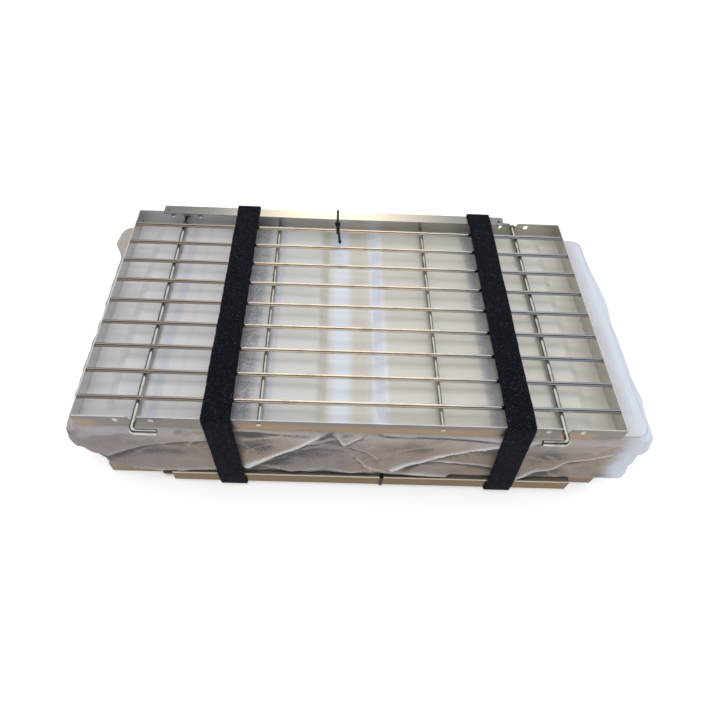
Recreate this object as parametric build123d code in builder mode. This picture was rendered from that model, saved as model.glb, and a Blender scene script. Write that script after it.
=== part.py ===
from build123d import *
import math
import os

# A folding stove packed flat, in millimetres: two side racks clasp the bagged, folded firebox.
# X runs along the racks, Y to the rear and Z up. The origin is the middle of the footprint,
# on the ground that the straps rest on.

os.makedirs("parts", exist_ok=True)

# Clearances
soft_gap = 0.3        # straps and bag to what they lie against
fit_gap = 0.05        # wires and rods in their holes
run_gap = 0.15        # a hook wire in its notch
lay_gap = 0.1         # loose pieces lying on each other

# Side racks: stamped trays with a grid of rods over the open side
rack_length = 450.0
rack_depth = 250.0
rack_height = 16.0
rack_sheet = 0.8
rack_bend = 1.6       # outer radius at the foot of the walls
corner_slit = 0.5     # open seam where two walls meet

pad_foot_inner = 22.0     # from the middle of the rack to the foot of a stamped pad
pad_foot_outer = rack_length / 2 - 20.0
pad_foot_margin = 5.0     # from the long walls to the foot of a pad
pad_rise = 4.5
pad_taper = 60.0          # degrees from upright
pad_corner = 16.0

rod_radius = 2.0
rod_count = 9
rod_margin = 19.6         # from the long walls to the first and last rod
rod_pitch = (rack_depth - 2 * rod_margin) / (rod_count - 1)
rod_below_edge = 0.5      # top of the rods under the wall's edge
rod_overhang = 0.6        # rod ends past the walls
rod_end_chamfer = 0.4

wire_radius = 2.0         # the two fixed cross wires under the rods
wire_x = rack_length / 6
wire_overhang = 0.4

# Hook wires that turn in open notches of the long walls
hook_radius = 2.5
hook_x = rack_length / 2 - 49.0
hook_reach = 21.0         # from the wire's axis to the tip of the leg
hook_bend = 4.3           # middle radius of the bend
hook_tip_round = 0.8
hook_standoff_upper = 9.0     # from the wall to the leg's axis, wire drawn forward
hook_standoff_lower = 4.4     # the same, wire pushed back behind the support strip
hook_head_radius = 4.0
hook_head_length = 1.5
notch_mouth = 9.0         # width of the notch at the wall's edge

locating_hole_radius = 2.5    # two by each notch
locating_hole_offset = 14.2
locating_hole_drop = 4.9      # below the wall's edge

# Angle strips tied over a long wall of each rack
strip_length = 362.4
strip_flat = 13.0
strip_drop = 14.0
strip_sheet = 0.8
strip_bend = 1.4
strip_hole_radius = 2.2
strip_hole_inset = 4.7    # from the strip's end
strip_hole_edge = 4.4     # from the free edge of the flat side
upper_strip_x = -17.2     # middle of the strip, from the middle of the upper rack
lower_strip_x = 23.3
upper_strip_outward = 7.2     # how far the flat side passes the rack's wall
lower_strip_outward = 8.4

# Ties
tie_width = 2.4
tie_thickness = 0.8
upper_tie_x = -14.0
lower_tie_x = 31.8
tie_knot = 4.0
tie_knot_from_rod = 6.5
tie_tail_past_rod = 22.0      # how far the upper tie's tail passes the last rod
tie_tail_slant = 2.6          # sideways

# Hook-and-loop straps
strap_width = 24.0
strap_thickness = 2.0
left_strap_x = -109.0
right_strap_x = 137.5
tape_low = 22.0           # heights of the hook tape's ends on the rear run
tape_high = 68.0

# How the bundle is stacked
pack_height = 98.0        # lower rack's edge to upper rack's edge
lower_rack_x = 7.3        # the lower rack sits a little to the right and forward
lower_rack_y = -3.0

# Bag, from its bottom to its top: share of the height, then how far the left, right, front
# and rear sides draw in from its widest outline
bag_left = -rack_length / 2 - 15.0
bag_right = rack_length / 2 + 33.0
bag_front = -rack_depth / 2 - 5.0
bag_rear = rack_depth / 2 + 2.5
bag_corner = 12.0
bag_wall = 1.2
bag_levels = (
    (0.0, 30.0, 22.0, 9.0, 9.0),
    (0.05, 29.0, 19.0, 8.0, 7.0),
    (0.15, 27.0, 9.0, 2.0, 3.0),
    (0.35, 8.0, 3.0, 0.0, 1.5),
    (0.62, 0.0, 0.0, 0.5, 0.5),
    (0.86, 3.0, 0.0, 2.5, 2.5),
    (1.0, 12.0, 5.0, 6.0, 6.0),
)
bag_mouth_width = 200.0
bag_mouth_height = 3.0

# Folded firebox inside the bag
firebox_x = 12.0
firebox_length = rack_length - 20.0
firebox_depth = rack_depth - 20.0
firebox_corner = 8.0
firebox_sheet = 1.0
base_pan_height = 30.0
panel_sheet = 0.8
panel_corner = 4.0
side_panel_length = firebox_length - 10.0
panel_depth = firebox_depth - 12.0
side_panel_height = 12.0
end_panel_length = firebox_length / 2 - 9.0
end_panel_height = 10.0
end_panel_x = end_panel_length / 2 + 4.0
grate_length = firebox_length - 30.0
grate_depth = firebox_depth - 40.0
grate_thickness = 3.0
grate_slots = 14
grate_slot_pitch = 26.0
grate_slot_width = 10.0
grate_slot_length = grate_depth - 30.0
leg_length = 150.0
leg_side = 14.0
leg_x = 95.0
leg_y = firebox_depth / 2 - 45.0
side_pin_radius = 1.5
side_pin_length = 200.0
side_pin_y = leg_y - 20.0
cook_hole_radius = 55.0
cook_hole_x = -60.0
lid_rim = 5.0
lid_thickness = 1.2
lid_step = 2.0
flue_radius = 31.0
flue_x = firebox_length / 2 - 65.0
flue_rim = 7.0
flue_height = 10.0
door_length = 130.0
door_depth = firebox_depth / 2 - 5.0
door_lap = 5.0
door_y = 20.0
door_sheet = 1.6
door_pin_radius = 1.5
door_barrel_radius = 2.8
door_ear = 3.0
door_side_gap = 0.2
latch_length = 34.0
latch_width = 9.0
latch_thickness = 1.6
latch_stud_radius = 2.0
air_slide_length = 76.0
air_slide_width = 20.0
air_hole_radius = 5.0
air_hole_pitch = 22.0
air_hole_count = 3
air_hole_y = -firebox_depth / 2 + 35.0

# Heights worked out from the stack
lower_edge_z = strap_thickness + soft_gap
lower_plate_z = lower_edge_z + rack_height
upper_edge_z = lower_edge_z + pack_height
upper_plate_z = upper_edge_z - rack_height
rod_z = rack_height - rod_below_edge - rod_radius
wire_z = rod_z - rod_radius - lay_gap - wire_radius
hook_z = rod_z - rod_radius - soft_gap - hook_radius
strip_seat = tie_thickness + 2 * lay_gap
tie_offset = lay_gap + tie_thickness / 2
strand_step = lay_gap + tie_thickness
upper_strip_z = upper_edge_z + strip_seat
lower_strip_z = lower_plate_z + strip_seat
bag_bottom_z = lower_plate_z + soft_gap
bag_top_z = upper_plate_z - soft_gap

# Faces of the two racks' long walls, seen from the middle of the upper rack
upper_front_y = -rack_depth / 2
upper_rear_y = rack_depth / 2
lower_front_y = lower_rack_y - rack_depth / 2
lower_rear_y = lower_rack_y + rack_depth / 2

# Middle of the whole footprint, from the middle of the upper rack
strap_front_y = lower_front_y - lower_strip_outward - soft_gap
strap_rear_y = upper_rear_y + upper_strip_outward + soft_gap
origin_x = (bag_left + bag_right) / 2
origin_y = (strap_front_y + strap_rear_y) / 2


def place(x, y, z):
    """A point given from the middle of the upper rack, in the frame of the whole bundle."""
    return Vector(x - origin_x, y - origin_y, z)


def level(z, x=0.0, y=0.0):
    """A level plane over a point given from the middle of the upper rack."""
    return Plane(origin=place(x, y, z))


def cross_plane(x):
    """An upright plane across the bundle: its own x runs to the rear and its own y up."""
    return Plane(origin=place(x, 0, 0), x_dir=(0, 1, 0), z_dir=(1, 0, 0))


upper_rack = Plane(origin=place(0, 0, upper_plate_z))
lower_rack = Plane(
    origin=place(lower_rack_x, lower_rack_y, lower_plate_z), x_dir=(-1, 0, 0), z_dir=(0, 0, -1)
)


def along_plane(rack, x, y, z):
    """A plane of the rack whose normal runs along the rack, its own x to the rear."""
    return Plane(origin=rack.from_local_coords((x, y, z)), x_dir=rack.y_dir, z_dir=rack.x_dir)


def front_plane(rack, x, y, z):
    """A plane of the rack whose normal runs to the front, its own x along the rack."""
    return Plane(origin=rack.from_local_coords((x, y, z)), x_dir=rack.x_dir, z_dir=-rack.y_dir)


def save(part, name):
    """Labels a finished piece and writes its file."""
    part.label = name
    export_step(part, f"parts/{name}.step")


def rod_places():
    """The rods' places across the rack, from the front."""
    return [(number - (rod_count - 1) / 2) * rod_pitch for number in range(rod_count)]


def make_tray(rack):
    """A rack's stamped sheet tray, open side along the rack plane's normal."""
    up = Axis(rack.origin, rack.z_dir)
    with BuildPart() as tray:
        with BuildSketch(rack):
            Rectangle(rack_length, rack_depth)
        extrude(amount=rack_height)
        fillet(tray.faces().sort_by(up)[0].edges(), radius=rack_bend)
        offset(amount=-rack_sheet, openings=tray.faces().sort_by(up)[-1])
        # Two pads are pressed up from the plate
        pad_length = pad_foot_outer - pad_foot_inner
        pad_middle = (pad_foot_outer + pad_foot_inner) / 2
        pad_depth = rack_depth - 2 * pad_foot_margin
        pad_places = [(-pad_middle, 0), (pad_middle, 0)]
        with BuildSketch(rack.offset(rack_sheet)):
            with Locations(*pad_places):
                RectangleRounded(pad_length, pad_depth, pad_corner)
        extrude(amount=pad_rise, taper=pad_taper)
        with BuildSketch(rack):
            with Locations(*pad_places):
                RectangleRounded(pad_length, pad_depth, pad_corner)
        extrude(amount=pad_rise, taper=pad_taper, mode=Mode.SUBTRACT)
        # Open seams at the corners
        seam_height = rack_height - rack_bend
        seam_y = rack_depth / 2 - rack_sheet - corner_slit / 2
        with BuildSketch(rack.offset(rack_bend)):
            with Locations(*[(x * rack_length / 2, y * seam_y) for x in (-1, 1) for y in (-1, 1)]):
                Rectangle(2 * rack_sheet, corner_slit)
        extrude(amount=seam_height, mode=Mode.SUBTRACT)
        # Rod holes through both end walls
        with BuildSketch(along_plane(rack, -rack_length / 2 - rack_sheet, 0, rod_z)):
            with Locations(*[(y, 0) for y in rod_places()]):
                Circle(rod_radius + fit_gap)
        extrude(amount=rack_length + 2 * rack_sheet, mode=Mode.SUBTRACT)
        # Wire holes, locating holes and hook notches through both long walls
        with BuildSketch(front_plane(rack, 0, rack_depth / 2 + rack_sheet, 0)):
            with Locations((-wire_x, wire_z), (wire_x, wire_z)):
                Circle(wire_radius + fit_gap)
            for side in (-1, 1):
                hole_z = rack_height - locating_hole_drop
                for offset_x in (-locating_hole_offset, locating_hole_offset):
                    with Locations((side * hook_x + offset_x, hole_z)):
                        Circle(locating_hole_radius)
                notch_radius = hook_radius + run_gap
                with Locations((side * hook_x, hook_z)):
                    Circle(notch_radius)
                with BuildLine():
                    Polyline(
                        (side * hook_x - notch_radius, hook_z),
                        (side * hook_x + notch_radius, hook_z),
                        (side * hook_x + notch_mouth / 2, rack_height + rack_sheet),
                        (side * hook_x - notch_mouth / 2, rack_height + rack_sheet),
                        close=True,
                    )
                make_face()
        extrude(amount=rack_depth + 2 * rack_sheet, mode=Mode.SUBTRACT)
    return tray.part


def make_rod(rack, y):
    """One long rod, through both end walls."""
    start = -rack_length / 2 - rod_overhang
    with BuildPart() as rod:
        with BuildSketch(along_plane(rack, start, y, rod_z)):
            Circle(rod_radius)
        extrude(amount=rack_length + 2 * rod_overhang)
        chamfer(rod.edges().filter_by(GeomType.CIRCLE), length=rod_end_chamfer)
    return rod.part


def make_cross_wire(rack, x):
    """One fixed wire under the rods, through both long walls."""
    with BuildPart() as wire:
        with BuildSketch(front_plane(rack, x, rack_depth / 2 + wire_overhang, wire_z)):
            Circle(wire_radius)
        extrude(amount=rack_depth + 2 * wire_overhang)
    return wire.part


def make_hook(rack, side, standoff):
    """A hook wire: a head behind the rear wall, a run under the rods and a bent leg in front."""
    x = side * hook_x
    rear = rack_depth / 2 + soft_gap + hook_standoff_upper - standoff
    front = -rack_depth / 2 - standoff
    with BuildPart() as hook:
        with BuildLine(rack.offset(hook_z)):
            FilletPolyline(
                (x, rear), (x, front), (x - side * hook_reach, front), radius=hook_bend
            )
        with BuildSketch(front_plane(rack, x, rear, hook_z)):
            Circle(hook_radius)
        sweep()
        tip = hook.faces().sort_by(Axis(rack.origin, rack.x_dir * side))[0]
        fillet(tip.edges(), radius=hook_tip_round)
        with BuildSketch(front_plane(rack, x, rear + hook_head_length, hook_z)):
            Circle(hook_head_radius)
        extrude(amount=hook_head_length)
    return hook.part


def make_strip(x, wall_y, outward, seat_z, side):
    """An angle strip: its flat side lies over a wall and its other side hangs outside it."""
    edge_y = wall_y + side * outward
    top_z = seat_z + strip_sheet
    with BuildPart() as strip:
        with BuildSketch(cross_plane(x - strip_length / 2)):
            with BuildLine():
                Polyline(
                    (edge_y - side * strip_flat, top_z),
                    (edge_y, top_z),
                    (edge_y, top_z - strip_drop),
                    (edge_y - side * strip_sheet, top_z - strip_drop),
                    (edge_y - side * strip_sheet, seat_z),
                    (edge_y - side * strip_flat, seat_z),
                    close=True,
                )
            make_face()
        extrude(amount=strip_length)
        bend_edges = strip.edges().filter_by(Axis.X).sort_by_distance(place(x, edge_y, top_z))
        fillet(bend_edges[0], radius=strip_bend)
        fillet(bend_edges[1], radius=strip_bend - strip_sheet)
        hole_y = edge_y - side * (strip_flat - strip_hole_edge)
        hole_x = strip_length / 2 - strip_hole_inset
        with BuildSketch(level(top_z, x, hole_y)):
            with Locations((-hole_x, 0), (hole_x, 0)):
                Circle(strip_hole_radius)
        extrude(amount=-2 * strip_sheet, mode=Mode.SUBTRACT)
    return strip.part


def make_band(x, width, inner_points, thickness):
    """A flat band wound round a closed outline, in a plane across the bundle."""
    with BuildPart() as band:
        with BuildSketch(cross_plane(x - width / 2)):
            with BuildLine():
                Polyline(*inner_points, close=True)
            make_face()
            offset(amount=thickness, kind=Kind.ARC)
            with BuildLine():
                Polyline(*inner_points, close=True)
            make_face(mode=Mode.SUBTRACT)
        extrude(amount=width)
    return band.part


def round_a_rod(y, z, degrees):
    """Corners of a tie's path round a rod."""
    reach = (rod_radius + tie_offset) / math.cos(math.radians(22.5))
    turns = [math.radians(angle) for angle in degrees]
    return [(y + reach * math.cos(turn), z + reach * math.sin(turn)) for turn in turns]


def shifted(corners, distance):
    """Corners of a closed outline moved to its left, with mitred turns."""
    moved = []
    for index, corner in enumerate(corners):
        here = Vector(*corner)
        arriving = (here - Vector(*corners[index - 1])).normalized()
        leaving = (Vector(*corners[(index + 1) % len(corners)]) - here).normalized()
        first_side = Vector(-arriving.Y, arriving.X)
        second_side = Vector(-leaving.Y, leaving.X)
        mitre = (first_side + second_side).normalized()
        moved_corner = here + mitre * (distance / mitre.dot(first_side))
        moved.append((moved_corner.X, moved_corner.Y))
    return moved


def make_tie(x, path, knot_y, knot_z):
    """A tie: a narrow band along the middle line of its clockwise path, with a knot on it."""
    with BuildPart() as tie:
        with BuildSketch(cross_plane(x - tie_width / 2)):
            with BuildLine():
                Polyline(*shifted(path, tie_thickness / 2), close=True)
            make_face()
            with BuildLine():
                Polyline(*shifted(path, -tie_thickness / 2), close=True)
            make_face(mode=Mode.SUBTRACT)
        extrude(amount=tie_width)
        with BuildSketch(level(knot_z, x, knot_y)):
            RectangleRounded(tie_knot, tie_knot, tie_thickness)
        extrude(amount=tie_knot)
    return tie.part


def make_box(x, y, z, length, depth, height, corner=0.0):
    """A block on a level plane, rounded at its upright edges if it has a corner radius."""
    with BuildPart() as block:
        with BuildSketch(level(z, x, y)):
            if corner:
                RectangleRounded(length, depth, corner)
            else:
                Rectangle(length, depth)
        extrude(amount=height)
    return block.part


def make_pan(x, y, z, length, depth, height, sheet, corner, opens_up=True):
    """A shallow sheet pan that stands on its floor, or on its rim if it opens downwards."""
    with BuildPart() as pan:
        add(make_box(x, y, z, length, depth, height, corner))
        open_face = pan.faces().sort_by(Axis.Z)[-1 if opens_up else 0]
        offset(amount=-sheet, openings=open_face)
    return pan.part


# Upper and lower rack
for rack_name, rack, standoff in (
    ("upper", upper_rack, hook_standoff_upper),
    ("lower", lower_rack, hook_standoff_lower),
):
    save(make_tray(rack), f"{rack_name}_rack_tray")
    for number, y in enumerate(rod_places(), start=1):
        save(make_rod(rack, y), f"{rack_name}_rack_rod_{number}")
    # The lower rack is turned over end to end, so its own x runs to the left
    to_the_right = round(rack.x_dir.X)
    for side_name, side in (("left", -to_the_right), ("right", to_the_right)):
        save(make_cross_wire(rack, side * wire_x), f"{rack_name}_rack_{side_name}_cross_wire")
        save(make_hook(rack, side, standoff), f"{rack_name}_rack_{side_name}_hook")

# Angle strips
upper_strip_edge_y = upper_rear_y + upper_strip_outward
lower_strip_edge_y = lower_front_y - lower_strip_outward
save(
    make_strip(upper_strip_x, upper_rear_y, upper_strip_outward, upper_strip_z, side=1),
    "rear_angle_strip",
)
save(
    make_strip(lower_strip_x, lower_front_y, lower_strip_outward, lower_strip_z, side=-1),
    "front_angle_strip",
)

# The upper tie goes round the strip and, over the wall's edge, round the last rod
upper_rod_y = rod_places()[-1]
upper_rod_z = upper_plate_z + rod_z
upper_strip_top = upper_strip_z + strip_sheet
upper_strip_foot = upper_strip_top - strip_drop
upper_tie_path = [
    (upper_strip_edge_y - strip_flat - tie_offset, upper_strip_top + tie_offset),
    (upper_strip_edge_y + tie_offset, upper_strip_top + tie_offset),
    (upper_strip_edge_y + tie_offset, upper_strip_foot - tie_offset),
    (upper_strip_edge_y - strip_sheet - tie_offset, upper_strip_foot - tie_offset),
    (upper_rear_y + tie_offset, upper_edge_z + tie_offset),
    (upper_rear_y - rack_sheet - tie_offset, upper_edge_z + tie_offset),
    *round_a_rod(upper_rod_y, upper_rod_z, (-67.5, -112.5, -157.5, 157.5, 112.5, 67.5)),
]
upper_knot_y = upper_rod_y + tie_knot_from_rod
upper_knot_z = upper_edge_z - rod_below_edge
with BuildPart() as rear_tie:
    add(make_tie(upper_tie_x, upper_tie_path, upper_knot_y, upper_knot_z))
    tail_end_y = upper_rod_y - tie_tail_past_rod
    with BuildSketch(level(upper_knot_z + strand_step)):
        with BuildLine():
            Polyline(
                (upper_tie_x - tie_width / 2, upper_knot_y),
                (upper_tie_x + tie_width / 2, upper_knot_y),
                (upper_tie_x + tie_tail_slant + tie_width / 2, tail_end_y),
                (upper_tie_x + tie_tail_slant - tie_width / 2, tail_end_y),
                close=True,
            )
        make_face()
    extrude(amount=tie_thickness)
save(rear_tie.part, "rear_strip_tie")

# The lower tie goes round the strip and, under the wall's edge, round the first rod
lower_rod_y = lower_rack_y + rod_places()[0]
lower_rod_z = lower_plate_z - rod_z
lower_strip_top = lower_strip_z + strip_sheet
lower_strip_foot = lower_strip_top - strip_drop
lower_tie_path = [
    (lower_strip_edge_y - tie_offset, lower_strip_top + tie_offset),
    (lower_strip_edge_y + strip_flat + tie_offset, lower_strip_top + tie_offset),
    (lower_strip_edge_y + strip_flat + tie_offset, lower_plate_z + tie_offset),
    (lower_front_y - tie_offset, lower_plate_z + tie_offset),
    (lower_front_y - tie_offset, lower_edge_z - tie_offset),
    (lower_front_y + rack_sheet + tie_offset, lower_edge_z - tie_offset),
    *round_a_rod(lower_rod_y, lower_rod_z, (112.5, 67.5, 22.5, -22.5, -67.5, -112.5)),
    (lower_front_y + rack_sheet + tie_offset, lower_edge_z - tie_offset - strand_step),
    (lower_front_y - tie_offset - strand_step, lower_edge_z - tie_offset - strand_step),
    (lower_strip_edge_y - tie_offset, lower_strip_foot - tie_offset),
]
lower_knot_y = lower_rod_y - tie_knot_from_rod
lower_knot_z = lower_rod_z + tie_thickness
save(make_tie(lower_tie_x, lower_tie_path, lower_knot_y, lower_knot_z), "front_strip_tie")

# Straps, pulled tight round the racks and both strips
strap_top_z = upper_strip_top + soft_gap
strap_foot_z = lower_edge_z - soft_gap
strap_path = [
    (upper_front_y - soft_gap, upper_edge_z + soft_gap),
    (strap_rear_y, strap_top_z),
    (strap_rear_y, upper_strip_foot - soft_gap),
    (lower_rear_y + soft_gap, strap_foot_z),
    (lower_front_y - soft_gap, strap_foot_z),
    (strap_front_y, lower_strip_foot - soft_gap),
    (strap_front_y, lower_strip_top + soft_gap),
]
# The rear run leans from the rear strip's foot to the lower rack
rear_run_rise = upper_strip_foot - soft_gap - strap_foot_z
rear_run_lean = (strap_rear_y - lower_rear_y - soft_gap) / rear_run_rise
tape_step = (strap_thickness + lay_gap) * math.hypot(1, rear_run_lean)


def rear_run(z, steps_out):
    """A point of the strap's rear run, moved out by whole layers of strap."""
    run_y = lower_rear_y + soft_gap + (z - strap_foot_z) * rear_run_lean
    return (run_y + steps_out * tape_step, z)


for side_name, strap_x in (("left", left_strap_x), ("right", right_strap_x)):
    save(
        make_band(strap_x, strap_width, strap_path, strap_thickness),
        f"{side_name}_strap_band",
    )
    with BuildPart() as tape:
        with BuildSketch(cross_plane(strap_x - strap_width / 2)):
            with BuildLine():
                Polyline(
                    rear_run(tape_low, 1),
                    rear_run(tape_high, 1),
                    rear_run(tape_high, 2 - lay_gap / tape_step),
                    rear_run(tape_low, 2 - lay_gap / tape_step),
                    close=True,
                )
            make_face()
        extrude(amount=strap_width)
    save(tape.part, f"{side_name}_strap_hook_tape")


def bag_outline(share, left_in, right_in, front_in, rear_in, inset):
    """One level outline of the bag, moved inwards by the inset."""
    left = bag_left + left_in + inset
    right = bag_right - right_in - inset
    front = bag_front + front_in + inset
    rear = bag_rear - rear_in - inset
    low = bag_bottom_z + inset
    z = low + share * (bag_top_z - inset - low)
    with BuildSketch(level(z, (left + right) / 2, (front + rear) / 2)) as outline:
        RectangleRounded(right - left, rear - front, bag_corner - inset)
    return outline.sketch


# Storage bag: a thin skin with a flat open mouth at its right end
with BuildPart() as bag:
    add([bag_outline(*level_sizes, inset=0.0) for level_sizes in bag_levels])
    loft(ruled=True)
    with BuildPart(mode=Mode.PRIVATE) as hollow:
        add([bag_outline(*level_sizes, inset=bag_wall) for level_sizes in bag_levels])
        loft(ruled=True)
    add(hollow.part, mode=Mode.SUBTRACT)
    mouth_z = (bag_bottom_z + bag_top_z) / 2
    with BuildSketch(along_plane(level(mouth_z), bag_right - bag_corner, 0, 0)):
        Rectangle(bag_mouth_width, bag_mouth_height)
    extrude(amount=2 * bag_corner, mode=Mode.SUBTRACT)
save(bag.part, "storage_bag")

# Folded firebox: two pans, one turned over on the other, with the panels stacked between
base_pan_z = bag_bottom_z + bag_wall + lay_gap
top_pan_z = base_pan_z + base_pan_height + lay_gap
top_pan_top = bag_top_z - bag_wall - 2 * lay_gap - lid_thickness
save(
    make_pan(firebox_x, 0, base_pan_z, firebox_length, firebox_depth, base_pan_height,
             firebox_sheet, firebox_corner),
    "firebox_base_pan",
)
with BuildPart() as top_pan:
    add(make_pan(firebox_x, 0, top_pan_z, firebox_length, firebox_depth,
                 top_pan_top - top_pan_z, firebox_sheet, firebox_corner, opens_up=False))
    with BuildSketch(level(top_pan_top, firebox_x)):
        with Locations((cook_hole_x, 0)):
            Circle(cook_hole_radius)
        with Locations((flue_x, 0)):
            Circle(flue_radius)
    extrude(amount=-2 * firebox_sheet, mode=Mode.SUBTRACT)
save(top_pan.part, "firebox_top_pan")

with BuildPart() as lid:
    with BuildSketch(level(top_pan_top + lay_gap, firebox_x + cook_hole_x)):
        Circle(cook_hole_radius + lid_rim)
    extrude(amount=lid_thickness)
    with BuildSketch(level(top_pan_top + lay_gap, firebox_x + cook_hole_x)):
        Circle(cook_hole_radius - lay_gap)
    extrude(amount=-lid_step)
save(lid.part, "cook_plate_lid")

with BuildPart() as collar:
    with BuildSketch(level(top_pan_top - firebox_sheet - lay_gap, firebox_x + flue_x)):
        Circle(flue_radius + flue_rim)
    extrude(amount=-firebox_sheet)
    with BuildSketch(level(top_pan_top, firebox_x + flue_x)):
        Circle(flue_radius - fit_gap)
    extrude(amount=-flue_height)
    with BuildSketch(level(top_pan_top, firebox_x + flue_x)):
        Circle(flue_radius - fit_gap - firebox_sheet)
    extrude(amount=-flue_height, mode=Mode.SUBTRACT)
save(collar.part, "flue_collar")

side_panel_z = base_pan_z + firebox_sheet + lay_gap
for layer, side_name in enumerate(("left", "right")):
    panel_z = side_panel_z + layer * (side_panel_height + lay_gap)
    save(
        make_pan(firebox_x, 0, panel_z, side_panel_length, panel_depth, side_panel_height,
                 panel_sheet, panel_corner),
        f"{side_name}_side_panel",
    )

end_panel_z = side_panel_z + 2 * (side_panel_height + lay_gap)
end_floor_z = end_panel_z + panel_sheet
save(
    make_pan(firebox_x + end_panel_x, 0, end_panel_z, end_panel_length, panel_depth,
             end_panel_height, panel_sheet, panel_corner),
    "back_panel",
)

# Front panel with the door's opening, the door's two ears and the air holes
front_panel_x = firebox_x - end_panel_x
door_z = end_floor_z + lay_gap
barrel_z = door_z + door_barrel_radius
barrel_x = front_panel_x - door_length / 2 - door_barrel_radius
ear_side = 2 * door_barrel_radius
ear_spacing = door_depth + 2 * door_side_gap + door_ear
air_places = [
    ((hole - (air_hole_count - 1) / 2) * air_hole_pitch, 0) for hole in range(air_hole_count)
]
with BuildPart() as front_panel:
    add(make_pan(front_panel_x, 0, end_panel_z, end_panel_length, panel_depth,
                 end_panel_height, panel_sheet, panel_corner))
    with BuildSketch(level(end_panel_z, front_panel_x, door_y)):
        Rectangle(door_length - 2 * door_lap, door_depth - 2 * door_lap)
    extrude(amount=panel_sheet, mode=Mode.SUBTRACT)
    with BuildSketch(level(end_panel_z, front_panel_x, air_hole_y)):
        with Locations(*air_places):
            Circle(air_hole_radius)
    extrude(amount=panel_sheet, mode=Mode.SUBTRACT)
    with BuildSketch(level(end_floor_z, barrel_x, door_y)):
        with Locations((0, -ear_spacing / 2), (0, ear_spacing / 2)):
            Rectangle(ear_side, door_ear)
    extrude(amount=ear_side)
    with BuildSketch(front_plane(level(barrel_z), barrel_x, door_y + ear_spacing, 0)):
        Circle(door_pin_radius + fit_gap)
    extrude(amount=2 * ear_spacing, mode=Mode.SUBTRACT)
save(front_panel.part, "front_panel")

with BuildPart() as door:
    add(make_box(front_panel_x, door_y, door_z, door_length, door_depth, door_sheet))
    with BuildSketch(front_plane(level(barrel_z), barrel_x, door_y + door_depth / 2, 0)):
        Circle(door_barrel_radius)
        with Locations((door_barrel_radius, door_sheet / 2 - door_barrel_radius)):
            Rectangle(2 * door_barrel_radius, door_sheet)
    extrude(amount=door_depth)
    with BuildSketch(front_plane(level(barrel_z), barrel_x, door_y + door_depth, 0)):
        Circle(door_pin_radius + fit_gap)
    extrude(amount=2 * door_depth, mode=Mode.SUBTRACT)
    latch_x = front_panel_x + (door_length - latch_length) / 2
    with BuildSketch(level(door_z, latch_x, door_y)):
        Circle(latch_stud_radius + fit_gap)
    extrude(amount=door_sheet, mode=Mode.SUBTRACT)
save(door.part, "firebox_door")

with BuildPart() as door_pin:
    pin_length = ear_spacing + door_ear
    with BuildSketch(front_plane(level(barrel_z), barrel_x, door_y + pin_length / 2, 0)):
        Circle(door_pin_radius)
    extrude(amount=pin_length)
save(door_pin.part, "door_hinge_pin")

with BuildPart() as latch:
    add(make_box(latch_x, door_y, door_z + door_sheet + lay_gap, latch_length, latch_width,
                 latch_thickness))
    with BuildSketch(level(door_z + door_sheet + lay_gap, latch_x, door_y)):
        Circle(latch_stud_radius)
    extrude(amount=-door_sheet)
save(latch.part, "door_latch")

with BuildPart() as air_slide:
    add(make_box(front_panel_x, air_hole_y, door_z, air_slide_length, air_slide_width,
                 panel_sheet))
    with BuildSketch(level(door_z, front_panel_x, air_hole_y)):
        with Locations(*air_places):
            Circle(air_hole_radius)
    extrude(amount=panel_sheet, mode=Mode.SUBTRACT)
save(air_slide.part, "air_inlet_slide")

# Fire grate, legs and side pins lie on top of the panels
grate_z = end_panel_z + end_panel_height + lay_gap
with BuildPart() as grate:
    add(make_box(firebox_x, 0, grate_z, grate_length, grate_depth, grate_thickness))
    with BuildSketch(level(grate_z, firebox_x)):
        with GridLocations(grate_slot_pitch, 0, grate_slots, 1):
            SlotOverall(grate_slot_length, grate_slot_width, rotation=90)
    extrude(amount=grate_thickness, mode=Mode.SUBTRACT)
save(grate.part, "fire_grate")

leg_z = grate_z + grate_thickness + lay_gap
for row_name, row in (("front", -1), ("rear", 1)):
    for side_name, side in (("left", -1), ("right", 1)):
        with BuildPart() as leg:
            middle_y = row * leg_y
            with BuildSketch(level(leg_z, firebox_x + side * leg_x, middle_y)):
                Rectangle(leg_length, leg_side)
            extrude(amount=leg_side)
            inner_y = middle_y - row * firebox_sheet
            with BuildSketch(level(leg_z + firebox_sheet, firebox_x + side * leg_x, inner_y)):
                Rectangle(leg_length, leg_side)
            extrude(amount=leg_side, mode=Mode.SUBTRACT)
        save(leg.part, f"{row_name}_{side_name}_leg")

for side_name, side in (("left", -1), ("right", 1)):
    with BuildPart() as side_pin:
        pin_start = firebox_x - side_pin_length / 2
        pin_z = leg_z + side_pin_radius
        with BuildSketch(along_plane(level(pin_z), pin_start, side * side_pin_y, 0)):
            Circle(side_pin_radius)
        extrude(amount=side_pin_length)
    save(side_pin.part, f"{side_name}_panel_hinge_pin")
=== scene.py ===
"""The looks of a folding stove packed flat: two wire racks, its bag, strips, ties and straps."""

import logging
import math
from dataclasses import dataclass, field
from enum import Enum
from typing import Any, Iterable, Sequence

import bmesh
import bpy
import numpy as np
from mathutils import Matrix, Vector, noise

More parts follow.
